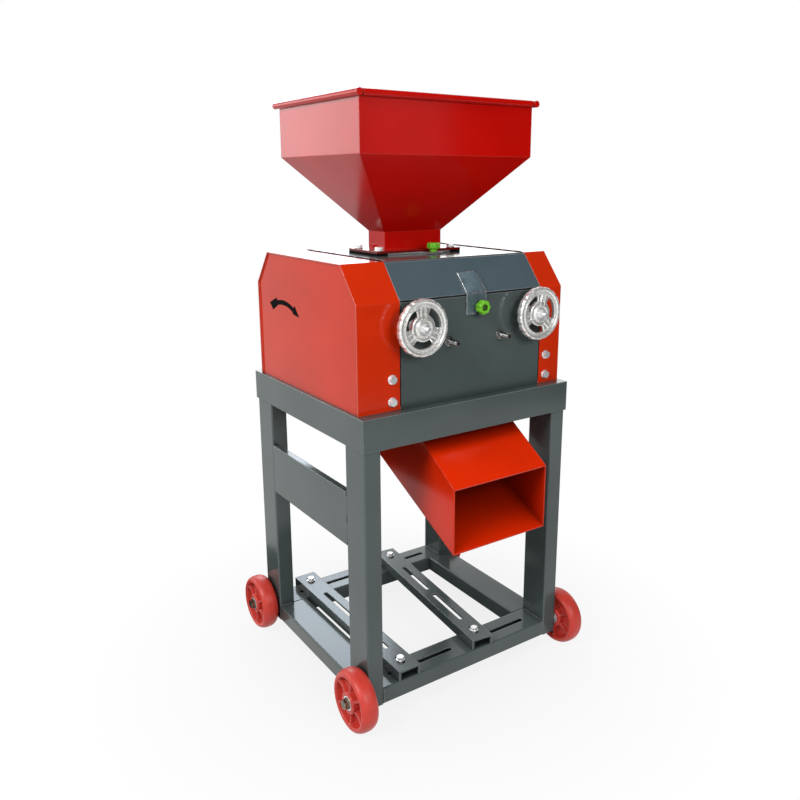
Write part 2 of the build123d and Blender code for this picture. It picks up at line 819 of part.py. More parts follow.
def make_bearings(y):
    """Pair of roll bearings, one at each end of a roll."""
    solids = []
    for x in (block_left_x, block_right_x):
        solids.append(bearing_place(x, y) * bearing(bearing_radius, journal_radius + running_gap, bearing_width))
    return solids


def make_slide_guides():
    """Bars above and below the bearing blocks, along both roll walls."""
    front = block_front - gap_travel - guide_overrun
    rear = rear_roll_y + block_rear_reach
    offset_z = block_height / 2 + slide_gap
    solids = []
    for x in (inner_left, inner_right - guide_depth):
        for z in (roll_z + offset_z, roll_z - offset_z - guide_height):
            solids.append(corner_box(x, x + guide_depth, front, rear, z, z + guide_height))
    return solids


def make_screw_bar():
    """Cross bar behind the front panel that carries the adjusting screws and lock studs."""
    bar = corner_box(inner_left, inner_right, panel_front + panel_sheet, screw_bar_rear,
                     roll_z - screw_bar_down, roll_z + screw_bar_up)
    for x in (block_left_x, block_right_x):
        bar -= to_front(x, screw_bar_rear, roll_z) * disc(screw_radius + running_gap, 0, screw_bar_thickness)
    for x in (left_lock_x, right_lock_x):
        hole = disc(lock_stud_radius + running_gap, 0, screw_bar_thickness)
        bar -= to_front(x, screw_bar_rear, roll_z - lock_stud_drop) * hole
    return bar


def make_adjusting_screw(x):
    """Screw from the handwheel into the bearing block, held by a collar on each side of the panel."""
    tip = block_front + screw_engagement
    wheel_front = handwheel_rear - handwheel_hub_length
    nut = head_share * screw_radius
    screw = disc(screw_radius, -tip, -wheel_front + nut)
    screw += disc(1.4 * screw_radius, -panel_front + seat_gap, -handwheel_rear)
    collar = -screw_bar_rear - seat_gap
    screw += disc(1.4 * screw_radius, collar - screw_bar_thickness / 2, collar)
    screw += hexagon(1.25 * screw_radius, -wheel_front, -wheel_front + 0.8 * nut)
    return to_front(x, 0, roll_z) * screw


def make_handwheel(x, spoke_angle):
    """Three-spoke handwheel with a round rim, finger grips round its rear edge and a stepped hub."""
    rim_middle = handwheel_radius - handwheel_rim / 2
    rim_z = handwheel_hub_length - handwheel_rim_depth / 2 - handwheel_rim_setback
    width = handwheel_rim / 2
    depth = handwheel_rim_depth / 2
    wheel = turned([(rim_middle - width, rim_z - depth / 2), (rim_middle - width / 2, rim_z - depth),
                    (rim_middle + width / 2, rim_z - depth), (rim_middle + width, rim_z - depth / 2),
                    (rim_middle + width, rim_z + depth / 2), (rim_middle + width / 2, rim_z + depth),
                    (rim_middle - width / 2, rim_z + depth), (rim_middle - width, rim_z + depth / 2)])
    grip_centre = handwheel_radius + handwheel_grip_radius - handwheel_grip_bite
    for place in PolarLocations(grip_centre, handwheel_grip_count):
        wheel -= place * disc(handwheel_grip_radius, rim_z - handwheel_rim_depth, rim_z)
    inner = handwheel_radius - handwheel_rim
    spoke_length = inner - handwheel_hub_radius + handwheel_rim / 2
    spoke_middle = handwheel_hub_radius + spoke_length / 2 - handwheel_rim / 4
    for place in PolarLocations(spoke_middle, handwheel_spoke_count, start_angle=spoke_angle):
        spoke = Box(spoke_length, handwheel_spoke, handwheel_rim_depth / 2)
        spoke += Pos(0, 0, handwheel_rim_depth / 4) * Box(spoke_length, handwheel_spoke / 3, handwheel_spoke_rib)
        wheel += place * Pos(0, 0, rim_z) * spoke
    hub = handwheel_hub_length
    step = handwheel_hub_step
    wheel += turned([(0, 0), (handwheel_hub_radius - step, 0), (handwheel_hub_radius - step / 3, hub / 2),
                     (handwheel_hub_radius, hub - 2 * step), (handwheel_hub_radius, hub - step),
                     (handwheel_hub_radius - step, hub), (0, hub)])
    wheel -= disc(screw_radius + running_gap, 0, hub)
    return to_front(x, handwheel_rear, roll_z) * wheel


def make_lock_studs():
    """Two studs through the cross bar and front panel, each with a washer and nut outside."""
    solids = []
    nut = head_share * lock_stud_radius
    for x in (left_lock_x, right_lock_x):
        stud = disc(lock_stud_radius, -panel_sheet - screw_bar_thickness, lock_stud_reach)
        stud += disc(washer_share * lock_stud_radius, 0, washer_thickness)
        stud += hexagon(hex_share * lock_stud_radius, washer_thickness, washer_thickness + nut)
        solids.append(to_front(x, panel_front, roll_z - lock_stud_drop) * stud)
    return solids


# Hopper and feed gate

def flange_bolt_places(z):
    """Places of the four hopper bolts at a height."""
    return [Pos(hopper_x + sx * flange_bolt_x, feed_y + sy * flange_bolt_y, z)
            for sx in (-1, 1) for sy in (-1, 1)]


def hopper_form(inset, low, high):
    """Outer form of the hopper drawn in by inset, from low to high."""
    neck = Rectangle(neck_width - 2 * inset, neck_depth - 2 * inset)
    mouth = Rectangle(hopper_width - 2 * inset, hopper_depth - 2 * inset)
    form = extrude(Plane.XY.offset(low) * neck, amount=neck_top - low)
    form += loft([Plane.XY.offset(neck_top) * neck, Plane.XY.offset(taper_top) * mouth])
    form += extrude(Plane.XY.offset(taper_top) * mouth, amount=high - taper_top)
    return Pos(hopper_x, feed_y, 0) * form


def make_hopper():
    """Sheet hopper with a neck, four tapered sides, an upright band and a rolled edge."""
    hopper = hopper_form(0, flange_top, band_top) - hopper_form(hopper_sheet, flange_top, band_top)
    x = hopper_width / 2 + rim_overhang
    y = hopper_depth / 2 + rim_overhang
    z = band_top + rim_lift - rim_radius
    side_length = 2 * (y + rim_radius)
    front_length = 2 * (x - rim_radius - rim_notch)
    for side in (-1, 1):
        roll = disc(rim_radius, -side_length / 2, side_length / 2)
        hopper += to_front(hopper_x + side * x, feed_y, z) * roll
        roll = disc(rim_radius, -front_length / 2, front_length / 2)
        hopper += to_right(hopper_x, feed_y + side * y, z) * roll
    return hopper


def make_hopper_flange():
    """Bolting plate under the hopper neck."""
    plate = Rectangle(flange_width, flange_depth)
    plate -= Rectangle(neck_width - 2 * hopper_sheet, neck_depth - 2 * hopper_sheet)
    solid = extrude(Pos(hopper_x, feed_y, flange_bottom) * plate, amount=flange_thickness)
    for place in flange_bolt_places(flange_bottom):
        solid -= place * disc(flange_bolt_radius + running_gap, 0, flange_thickness)
    return solid


def make_gate_guide():
    """Spacer under the flange, with a channel open to the front for the feed gate."""
    x = gate_width / 2 + seat_gap
    rear = neck_depth / 2 + gate_overlap + seat_gap
    solid = extrude(Pos(hopper_x, feed_y, housing_top) * Rectangle(flange_width, flange_depth), amount=gate_thickness)
    solid -= corner_box(hopper_x - x, hopper_x + x, feed_y - flange_depth / 2, feed_y + rear,
                        housing_top, flange_bottom)
    for place in flange_bolt_places(housing_top):
        solid -= place * disc(flange_bolt_radius + running_gap, 0, gate_thickness)
    return solid


def make_hopper_bolts():
    """Bolts through the flange, the gate guide and the top plate."""
    grip = flange_thickness + gate_thickness + panel_sheet
    return [place * bolt(flange_bolt_radius, grip) for place in flange_bolt_places(flange_top)]


def make_feed_gate():
    """Sliding plate that closes the neck, with a tab for its knob."""
    front = feed_y - flange_depth / 2
    low = housing_top + seat_gap
    high = flange_bottom - seat_gap
    gate = corner_box(hopper_x - gate_width / 2, hopper_x + gate_width / 2, front,
                      feed_y + neck_depth / 2 + gate_overlap, low, high)
    gate += corner_box(gate_knob_x - gate_tab_width / 2, gate_knob_x + gate_tab_width / 2,
                       front - gate_tab_reach, front, low, high)
    return gate - Pos(gate_knob_x, gate_knob_y, low) * disc(knob_stud_radius + running_gap, 0, high - low)


def make_gate_knob():
    """Knob and screw that pull the feed gate and lock it."""
    seat = flange_bottom - seat_gap
    knob = star_knob(gate_knob_radius, gate_knob_height, knob_stud_radius / 2, 0.3 * gate_knob_height)
    knob += disc(knob_stud_radius, -gate_thickness + 2 * seat_gap, 0.4 * gate_knob_height)
    return Pos(gate_knob_x, gate_knob_y, seat + seat_gap) * knob


def make_all():
    """Every piece under the name of its node."""
    parts["top_frame"] = make_top_frame()
    for end_name, end in (("front", -1), ("rear", 1)):
        for side_name, side in (("left", -1), ("right", 1)):
            parts[f"leg_{end_name}_{side_name}"] = make_leg(side, end)
            parts[f"wheel_{end_name}_{side_name}"] = make_wheel(side, end)
        parts[f"base_tube_{end_name}"] = make_cross_tube(end)
    for side_name, side in (("left", -1), ("right", 1)):
        parts[f"base_tube_{side_name}"] = make_side_tube(side)
        parts[f"roll_wall_{side_name}"] = make_roll_wall(side)
    parts["side_plate"] = make_side_plate()
    parts["wheel_bearings"] = make_wheel_bearings()
    parts["wheel_axles"] = make_wheel_axles()
    for side_name, x, angle in (("left", left_rail_x, 0), ("right", right_rail_x, right_rail_angle)):
        parts[f"motor_rail_{side_name}"] = make_motor_rail(x, angle)
        parts[f"rail_bolts_{side_name}"] = make_rail_bolts(x, angle)
    parts["chamber_floor"] = make_chamber_floor()
    parts["front_panel"] = make_front_panel()
    parts["rear_panel"] = make_rear_panel()
    parts["top_plate"] = make_top_plate()
    parts["cover_seal"] = make_cover_seal()
    parts["inspection_cover"] = make_inspection_cover()
    parts["clasp_bracket"] = make_clasp_bracket()
    parts["cover_knob"] = make_cover_knob()
    parts["guard_left"] = make_guard(housing_left, chamber_left)
    parts["guard_right"] = make_guard(housing_right, chamber_right)
    parts["guard_bolts"] = make_guard_bolts()
    parts["discharge_chute"] = make_chute()
    parts["roll_rear"] = make_roll(rear_roll_y)
    parts["roll_front"] = make_roll(front_roll_y)
    parts["shaft_rear"] = make_shaft(rear_roll_y, shaft_left, shaft_right)
    parts["shaft_front"] = make_shaft(front_roll_y, inner_left + 2 * block_side_gap, shaft_right)
    parts["gear_rear"] = make_gear(rear_roll_y, drive_teeth, -90)
    parts["gear_front"] = make_gear(front_roll_y, driven_teeth, 90 + 180 / driven_teeth)
    parts["drive_pulley"] = make_pulley()
    for side_name, x, angle in (("left", block_left_x, left_spoke_angle), ("right", block_right_x, right_spoke_angle)):
        parts[f"bearing_block_rear_{side_name}"] = make_bearing_block(x, rear_roll_y, nose=False)
        parts[f"bearing_block_front_{side_name}"] = make_bearing_block(x, front_roll_y, nose=True)
        parts[f"adjusting_screw_{side_name}"] = make_adjusting_screw(x)
        parts[f"handwheel_{side_name}"] = make_handwheel(x, angle)
    parts["bearings_rear"] = make_bearings(rear_roll_y)
    parts["bearings_front"] = make_bearings(front_roll_y)
    parts["slide_guides"] = make_slide_guides()
    parts["screw_bar"] = make_screw_bar()
    parts["lock_studs"] = make_lock_studs()
    parts["hopper"] = make_hopper()
    parts["hopper_flange"] = make_hopper_flange()
    parts["hopper_bolts"] = make_hopper_bolts()
    parts["gate_guide"] = make_gate_guide()
    parts["feed_gate"] = make_feed_gate()
    parts["gate_knob"] = make_gate_knob()


def write_parts():
    """One STEP file per node, moved so that the machine's box is centred on the origin."""
    os.makedirs("parts", exist_ok=True)
    for name, shape in parts.items():
        solids = []
        for piece in shape if isinstance(shape, list) else [shape]:
            solids += piece.solids()
        moved = [Pos(0, centre_shift, 0) * solid for solid in solids]
        export_step(moved[0] if len(moved) == 1 else Compound(children=moved), f"parts/{name}.step")


make_all()
write_parts()
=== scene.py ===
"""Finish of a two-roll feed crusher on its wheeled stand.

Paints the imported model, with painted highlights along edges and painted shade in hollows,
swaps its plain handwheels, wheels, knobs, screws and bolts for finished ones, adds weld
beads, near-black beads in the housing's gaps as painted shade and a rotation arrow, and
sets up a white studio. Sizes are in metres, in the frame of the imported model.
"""
import json
import math

import bmesh
import bpy
from bpy.props import FloatProperty, FloatVectorProperty, IntProperty, PointerProperty
from mathutils import Matrix, Vector


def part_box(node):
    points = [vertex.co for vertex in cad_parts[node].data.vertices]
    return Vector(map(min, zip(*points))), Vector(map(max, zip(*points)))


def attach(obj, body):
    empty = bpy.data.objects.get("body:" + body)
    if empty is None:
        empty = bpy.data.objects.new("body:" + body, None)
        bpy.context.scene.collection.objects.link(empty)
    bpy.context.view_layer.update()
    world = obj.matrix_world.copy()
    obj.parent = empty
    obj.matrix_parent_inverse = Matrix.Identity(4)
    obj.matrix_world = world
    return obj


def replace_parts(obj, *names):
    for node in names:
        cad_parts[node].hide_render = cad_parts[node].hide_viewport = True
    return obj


bl_info = {
    "name": "Feed crusher finish",
    "version": (1, 0, 0),
    "blender": (4, 5, 0),
    "location": "3D View > Sidebar > Crusher",
    "description": "Paints and details a two-roll feed crusher",
    "category": "Object",
}

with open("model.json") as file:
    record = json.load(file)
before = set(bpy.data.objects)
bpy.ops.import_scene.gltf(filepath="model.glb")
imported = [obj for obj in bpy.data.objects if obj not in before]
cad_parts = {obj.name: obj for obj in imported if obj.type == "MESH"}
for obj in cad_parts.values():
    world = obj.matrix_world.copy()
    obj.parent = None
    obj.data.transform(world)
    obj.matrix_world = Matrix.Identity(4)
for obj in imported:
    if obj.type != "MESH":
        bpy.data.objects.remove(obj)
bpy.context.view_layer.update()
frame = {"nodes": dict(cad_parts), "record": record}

UPWARD = Matrix.Identity(4)
TO_FRONT = Matrix.Rotation(math.radians(90), 4, "X")
TO_REAR = Matrix.Rotation(math.radians(-90), 4, "X")
TO_LEFT = Matrix.Rotation(math.radians(-90), 4, "Y")
TO_RIGHT = Matrix.Rotation(math.radians(90), 4, "Y")

WASHER = 0.0016
NUT_FLAT = 0.0068
BOLT_RADIUS = 0.004
BOLT_CROWN = WASHER + 1.3 * BOLT_RADIUS
BOLT_PITCH = 0.00125
SCREW_RADIUS = 0.0079
SCREW_PITCH = 0.003
SCREW_END = 0.0042
STUD_RADIUS = 0.0045
STUD_PITCH = 0.0015

# Colours of the painted highlights laid along sharp edges of the enamels, as if the folds caught the light.
HOPPER_EDGE_HIGHLIGHT = (0.6, 0.08, 0.05)
GUARD_EDGE_HIGHLIGHT = (0.85, 0.30, 0.25)
GREY_EDGE_HIGHLIGHT = (0.45, 0.47, 0.49)
WORN_STEEL = (0.78, 0.79, 0.8)
FLOOR_RADIUS = 8


def at(x, y, z, turn=UPWARD):
    """A place at a point, with its local Z turned another way."""
    return Matrix.Translation((x, y, z)) @ turn


def centre(node):
    """The middle of a CAD node's box."""
    low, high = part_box(node)
    return (Vector(low) + Vector(high)) / 2


# Mesh building

def softened(outline, radius):
    """A closed outline of (radius, height) points with its corners rounded, apart from those on the axis."""
    points = []
    count = len(outline)
    for i, corner in enumerate(outline):
        here = Vector(corner)
        if here.x == 0:
            points.append(here)
            continue
        before = Vector(outline[i - 1]) - here
        after = Vector(outline[(i + 1) % count]) - here
        reach = min(radius, 0.45 * before.length, 0.45 * after.length)
        start = here + reach * before.normalized()
        end = here + reach * after.normalized()
        for t in (0, 1 / 3, 2 / 3, 1):
            points.append((1 - t) ** 2 * start + 2 * t * (1 - t) * here + t ** 2 * end)
    return points


def add_turned(bm, place, outline, segments=48, shape=None):
    """A body turned round its place's Z from a closed outline; shape may change the radius with the angle."""
    rings = []
    for i in range(segments):
        angle = 2 * math.pi * i / segments
        ring = []
        for radius, height in outline:
            if shape:
                radius = shape(angle, radius, height)
            ring.append(bm.verts.new(place @ Vector((radius * math.cos(angle), radius * math.sin(angle), height))))
        rings.append(ring)
    for i in range(segments):
        ring, following = rings[i], rings[(i + 1) % segments]
        for j in range(len(outline)):
            k = (j + 1) % len(outline)
            bm.faces.new((ring[j], following[j], following[k], ring[k]))
    bmesh.ops.remove_doubles(bm, verts=[vert for ring in rings for vert in ring], dist=1e-6)


def add_loft(bm, loops):
    """A closed body through loops that have the same number of points."""
    rows = [[bm.verts.new(point) for point in loop] for loop in loops]
    for low, high in zip(rows, rows[1:]):
        for i in range(len(low)):
            k = (i + 1) % len(low)
            bm.faces.new((low[i], low[k], high[k], high[i]))
    bm.faces.new(rows[0][::-1])
    bm.faces.new(rows[-1])


def hex_limit(flat_radius):
    """A radius shape that cuts a turned body to a hexagon; the cone of its outline becomes the nut's chamfer."""
    def limited(angle, radius, height):
        side = (angle + math.pi / 6) % (math.pi / 3) - math.pi / 6
        return min(radius, flat_radius / math.cos(side))
    return limited


def screw_thread(root, pitch, depth):
    """A radius shape with a helical groove for the parts of an outline that lie outside root."""
    def threaded(angle, radius, height):
        if radius < root:
            return radius
        turn = (height / pitch - angle / (2 * math.pi)) % 1
        return radius - depth * abs(2 * turn - 1)
    return threaded


def threaded_outline(radius, low, high, pitch, chamfer):
    """Outline of a threaded rod, with four points to each turn of its thread."""
    steps = max(4, round(4 * (high - low - 2 * chamfer) / pitch))
    points = [(0, low), (radius - chamfer, low)]
    for i in range(steps + 1):
        points.append((radius, low + chamfer + (high - low - 2 * chamfer) * i / steps))
    return points + [(radius - chamfer, high), (0, high)]


def add_nut(bm, place, flat_radius, low, high):
    """A hexagon with chamfered corners on a rounded washer."""
    corner = flat_radius / math.cos(math.pi / 6)
    step = 0.16 * flat_radius
    foot = low + WASHER
    rim = 1.31 * flat_radius
    add_turned(bm, place, softened([(0, low), (rim, low), (rim, foot), (0, foot)], 0.0006), 48)
    head = [(0, foot), (corner - step, foot), (corner, foot + 0.5 * step), (corner, high - 0.6 * step),
            (corner - 1.1 * step, high), (0.55 * flat_radius, high), (0, high)]
    add_turned(bm, place, head, 48, hex_limit(flat_radius))


def add_bolt(bm, place, grip):
    """A hex bolt with its washers and nut; local Z = 0 is the seat under its head."""
    flat = 1.6 * BOLT_RADIUS
    add_nut(bm, place, flat, 0, BOLT_CROWN)
    top = BOLT_CROWN - 0.05 * BOLT_RADIUS + 0.0001
    dish = [(0, top - 0.0007), (0.4 * BOLT_RADIUS, top - 0.0007), (0.34 * BOLT_RADIUS, top), (0, top)]
    add_turned(bm, place, dish, 24)
    below = place @ Matrix.Translation((0, 0, -grip)) @ Matrix.Rotation(math.pi, 4, "X")
    add_nut(bm, below, flat, 0, BOLT_CROWN)
    rod = threaded_outline(0.93 * BOLT_RADIUS, -grip - BOLT_CROWN - BOLT_RADIUS, 0.001, BOLT_PITCH, 0.0006)
    add_turned(bm, place, rod, 24, screw_thread(0.9 * BOLT_RADIUS, BOLT_PITCH, 0.0006))


def add_bead(bm, start, end, radius, pitch=0.005):
    """A weld bead along a line, rippled like overlapping coins."""
    start = Vector(start)
    end = Vector(end)
    along = (end - start).normalized()
    across = along.orthogonal().normalized()
    other = along.cross(across)
    count = max(6, round(4 * (end - start).length / pitch))
    loops = []
    for i in range(count + 1):
        share = i / count
        swell = 0.86 + 0.14 * abs(math.sin(math.pi * share * count / 4))
        wander = 0.06 * radius * math.sin(share * count * 0.9)
        if i in (0, count):
            swell = 0.35
        middle = start.lerp(end, share) + wander * across
        loop = []
        for j in range(10):
            angle = 2 * math.pi * j / 10
            loop.append(middle + radius * swell * (math.cos(angle) * across + math.sin(angle) * other))
        loops.append(loop)
    add_loft(bm, loops)


def islands(node):
    """Lowest and highest corners of each separate solid in a CAD node."""
    bm = bmesh.new()
    bm.from_mesh(frame["nodes"][node].data)
    bmesh.ops.remove_doubles(bm, verts=bm.verts, dist=1e-6)
    boxes = []
    seen = set()
    for first in bm.verts:
        if first in seen:
            continue
        seen.add(first)
        waiting = [first]
        corners = []
        while waiting:
            vert = waiting.pop()
            corners.append(vert.co.copy())
            for edge in vert.link_edges:
                other = edge.other_vert(vert)
                if other not in seen:
                    seen.add(other)
                    waiting.append(other)
        low = Vector([min(corner[i] for corner in corners) for i in range(3)])
        high = Vector([max(corner[i] for corner in corners) for i in range(3)])
        boxes.append((low, high))
    bm.free()
    return sorted(boxes, key=lambda box: tuple(box[0]))


def add_piece(name, bm, material, body, crease=32.0):
    """Turns bm into an object with a material that rides on a CAD body."""
    bmesh.ops.recalc_face_normals(bm, faces=bm.faces)
    mesh = bpy.data.meshes.new(name)
    bm.to_mesh(mesh)
    bm.free()
    mesh.materials.append(material)
    mesh.shade_smooth()
    mesh.set_sharp_from_angle(angle=math.radians(crease))
    piece = bpy.data.objects.new(name, mesh)
    bpy.context.scene.collection.objects.link(piece)
    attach(piece, body)
    return piece


# Finishes

def new_finish(name, **sockets):
    """A material with these constant values on its shader; underscores in the names stand for spaces."""
    material = bpy.data.materials.new(name)
    material.use_nodes = True
    shader = material.node_tree.nodes["Principled BSDF"]
    for socket, value in sockets.items():
        if isinstance(value, tuple):
            value = (*value, 1.0)
        shader.inputs[socket.replace("_", " ")].default_value = value
    return material


def add_node(material, kind, values=(), **inputs):
    """A node with its settings and inputs; an input may be another node's output."""
    node = material.node_tree.nodes.new(kind)
    for name, value in dict(values).items():
        setattr(node, name, value)
    for name, value in inputs.items():
        socket = node.inputs[int(name[1:])] if name[1:].isdigit() else node.inputs[name.replace("_", " ")]
        if isinstance(value, bpy.types.NodeSocket):
            material.node_tree.links.new(value, socket)
        else:
            socket.default_value = value
    return node


def noise(material, scale, detail=2.0, stretch=(1.0, 1.0, 1.0), roughness=0.5):
    """Noise in the model's own space; stretch scales it along the three axes."""
    space = add_node(material, "ShaderNodeTexCoord").outputs["Object"]
    if stretch != (1.0, 1.0, 1.0):
        space = add_node(material, "ShaderNodeMapping", Vector=space, Scale=stretch).outputs["Vector"]
    return add_node(material, "ShaderNodeTexNoise", Vector=space, Scale=scale, Detail=detail,
                    Roughness=roughness).outputs["Fac"]


def spread(material, value, low, high, to_low, to_high):
    """A value mapped from one range to another and held at its ends."""
    return add_node(material, "ShaderNodeMapRange", Value=value, From_Min=low, From_Max=high,
                    To_Min=to_low, To_Max=to_high).outputs["Result"]


def blend_colours(material, share, first, second):
    """A colour between two colours or colour outputs."""
    node = material.node_tree.nodes.new("ShaderNodeMix")
    node.data_type = "RGBA"
    sockets = [socket for socket in node.inputs if socket.enabled]
    for socket, value in zip(sockets, (share, first, second)):
        if isinstance(value, bpy.types.NodeSocket):
            material.node_tree.links.new(value, socket)
        else:
            socket.default_value = value if isinstance(value, float) else (*value, 1.0)
    return [socket for socket in node.outputs if socket.enabled][0]


def maths(material, operation, first, second):
    """The result of a sum, product or comparison of two values."""
    return add_node(material, "ShaderNodeMath", {"operation": operation}, _0=first, _1=second).outputs["Value"]


def rounded_normal(material, radius):
    """The surface direction with its sharp edges rounded over a radius."""
    return add_node(material, "ShaderNodeBevel", {"samples": 4}, Radius=radius).outputs["Normal"]


def edge_share(material, radius):
    """1 along sharp edges and 0 on the flats."""
    rounded = rounded_normal(material, radius)
    flat = add_node(material, "ShaderNodeNewGeometry").outputs["Normal"]
    match = add_node(material, "ShaderNodeVectorMath", {"operation": "DOT_PRODUCT"}, _0=rounded, _1=flat)
    return spread(material, match.outputs["Value"], 0.995, 0.93, 0.0, 1.0)


def add_relief(material, height, distance, strength, edge, sockets=("Normal",)):
    """Bump from a height, over edges rounded to a radius."""
    base = rounded_normal(material, edge)
    bump = add_node(material, "ShaderNodeBump", Strength=strength, Distance=distance, Height=height, Normal=base)
    connect(material, bump.outputs["Normal"], *sockets)


def connect(material, value, *sockets):
    """Links a value to sockets of the material's shader."""
    shader = material.node_tree.nodes["Principled BSDF"]
    for socket in sockets:
        material.node_tree.links.new(value, shader.inputs[socket])


def shade(colour, factor):
    """A colour made lighter or darker."""
    return tuple(min(1.0, channel * factor) for channel in colour)


def make_enamel(name, colour, dust, peel, gloss, highlight_colour, edge, depth=0.0):
    """Glossy baked enamel: orange peel, slow changes of tone, smudges, sparse dust, a painted highlight along
    sharp edges and, to a depth of metres, painted shade in hollows."""
    material = new_finish(name, Coat_Weight=1.0, Coat_Roughness=0.15, Coat_IOR=gloss, Specular_IOR_Level=0.0)
    tone = spread(material, noise(material, 5.0, 3.0), 0.35, 0.65, 0.0, 1.0)
    body = blend_colours(material, tone, shade(colour, 0.9), shade(colour, 1.08))
    # Painted highlight: sharp edges blend toward a paler colour, as if they caught the light.
    edges = maths(material, "MULTIPLY", edge_share(material, 0.0018), edge)
    body = blend_colours(material, edges, body, highlight_colour)
    # Painted shade: where other surfaces lie within depth, the colour darkens toward a deep copy of itself.
    if depth:
        occlusion_shade = add_node(material, "ShaderNodeAmbientOcclusion", {"samples": 8}, Distance=depth).outputs["AO"]
        body = blend_colours(material, spread(material, occlusion_shade, 0.25, 0.8, 1.0, 0.0), body, shade(colour, 0.22))
    specks = spread(material, noise(material, 620.0, 1.0), 0.735, 0.78, 0.0, 0.5)
    connect(material, blend_colours(material, specks, body, dust), "Base Color")
    smudges = noise(material, 17.0, 5.0, roughness=0.65)
    connect(material, spread(material, smudges, 0.3, 0.7, 0.28, 0.42), "Roughness")
    add_relief(material, noise(material, 150.0, 2.0), 0.0005, peel, 0.0022, ("Normal", "Coat Normal"))
    return material


def make_worn_enamel(name, colour, metal):
    """Enamel that is rubbed down to bright steel along its edges."""
    material = new_finish(name, Coat_Weight=0.6, Coat_Roughness=0.12, Specular_IOR_Level=0.3)
    edges = edge_share(material, 0.0058)
    patchy = spread(material, noise(material, 160.0, 4.0, roughness=0.7), 0.36, 0.52, 0.45, 1.0)
    wear = maths(material, "MULTIPLY", edges, patchy)
    tone = spread(material, noise(material, 40.0, 3.0), 0.35, 0.65, 0.0, 1.0)
    paint = blend_colours(material, tone, shade(colour, 0.9), shade(colour, 1.7))
    connect(material, blend_colours(material, wear, paint, metal), "Base Color")
    connect(material, wear, "Metallic")
    connect(material, spread(material, wear, 0.0, 1.0, 0.34, 0.26), "Roughness")
    add_relief(material, noise(material, 260.0, 2.0), 0.0004, 0.12, 0.0009)
    return material


def make_plated(name, colour, tint, low, high, grain, stretch=(1.0, 1.0, 1.0), relief=0.05, metallic=1.0):
    """Bare or plated metal: patches of two tones, uneven gloss and a grain that stretch can lay along an axis."""
    material = new_finish(name, Metallic=metallic)
    tone = spread(material, noise(material, 0.35 * grain, 3.0), 0.35, 0.65, 0.0, 1.0)
    connect(material, blend_colours(material, tone, colour, tint), "Base Color")
    fine = noise(material, grain, 4.0, stretch, 0.6)
    connect(material, spread(material, fine, 0.3, 0.7, low, high), "Roughness")
    add_relief(material, fine, 0.0003, relief, 0.0007)
    return material


def make_casting(name, colour):
    """Grey iron with a sandy skin."""
    material = new_finish(name, Metallic=0.7)
    tone = spread(material, noise(material, 60.0, 5.0, roughness=0.7), 0.3, 0.7, 0.0, 1.0)
    connect(material, blend_colours(material, tone, shade(colour, 0.7), shade(colour, 1.3)), "Base Color")
    connect(material, spread(material, tone, 0.0, 1.0, 0.42, 0.62), "Roughness")
    add_relief(material, noise(material, 900.0, 3.0), 0.0006, 0.35, 0.001)
    return material


def make_moulding(name, colour, gloss, grain, shine=0.4, edge=0.3):
    """Moulded plastic or rubber with a fine skin, slight flow marks and a painted highlight along its edges."""
    material = new_finish(name, Specular_IOR_Level=shine)
    flow = spread(material, noise(material, 26.0, 4.0, (1.0, 1.0, 2.2)), 0.3, 0.7, 0.0, 1.0)
    edges = edge_share(material, 0.0012)
    body = blend_colours(material, flow, shade(colour, 0.86), shade(colour, 1.1))
    # Painted highlight: edges blend toward a paler tint of the colour, as if rims and ribs caught the light.
    light = maths(material, "MULTIPLY", edges, edge)
    highlight_colour = tuple(0.6 * channel + 0.3 * max(colour) for channel in colour)
    connect(material, blend_colours(material, light, body, highlight_colour), "Base Color")
    skin = noise(material, 300.0, 3.0)
    connect(material, spread(material, skin, 0.3, 0.7, gloss - 0.05, gloss + 0.08), "Roughness")
    add_relief(material, noise(material, grain, 2.0), 0.0003, 0.25, 0.0008)
    return material


def paint_or_plastic(slot, colours):
    """A finish in one of the colours of the settings, or None for another slot."""
    name = "finish_" + slot
    # The flange gets the hopper enamel darkened to 0.3: painted shade for the dark reflections on its edges.
    reds = {"red_paint": colours.guard_enamel, "hopper_paint": colours.hopper_enamel,
            "chute_paint": colours.chute_enamel, "shaded_flange_paint": shade(colours.hopper_enamel, 0.3)}
    greys = {"grey_paint": colours.grey_enamel, "cover_paint": colours.cover_enamel}
    if slot in reds:
        red = tuple(reds[slot])
        # Painted highlight along the edges of the red enamels: its colour and strength.
        highlight_colour, edge = (GUARD_EDGE_HIGHLIGHT, 0.6) if slot == "red_paint" else (HOPPER_EDGE_HIGHLIGHT, 0.4)
        # Painted shade inside the chute, reaching 0.19 m.
        depth = 0.19 if slot == "chute_paint" else 0.0
        return make_enamel(name, red, shade(red, 0.5), colours.orange_peel, 1.33, highlight_colour, edge, depth)
    if slot in greys:
        grey = tuple(greys[slot])
        # The greys get a painted highlight along edges and painted shade in corners within 0.03 m.
        return make_enamel(name, grey, shade(grey, 2.2), colours.orange_peel, 1.42, GREY_EDGE_HIGHLIGHT, 0.5, 0.03)
    if slot == "clasp_paint":
        return make_worn_enamel(name, tuple(colours.cover_enamel), WORN_STEEL)
    if slot == "red_plastic":
        return make_moulding(name, tuple(colours.wheel_plastic), 0.36, 700.0, 0.4, 0.75)
    if slot == "green_plastic":
        return make_moulding(name, tuple(colours.knob_plastic), 0.26, 900.0)
    if slot == "knob_plug":
        return make_moulding(name, shade(colours.knob_plastic, 0.14), 0.4, 900.0)
    if slot == "ink":
        return make_moulding(name, tuple(colours.arrow_ink), 0.85, 500.0, 0.05, 0.0)
    return None


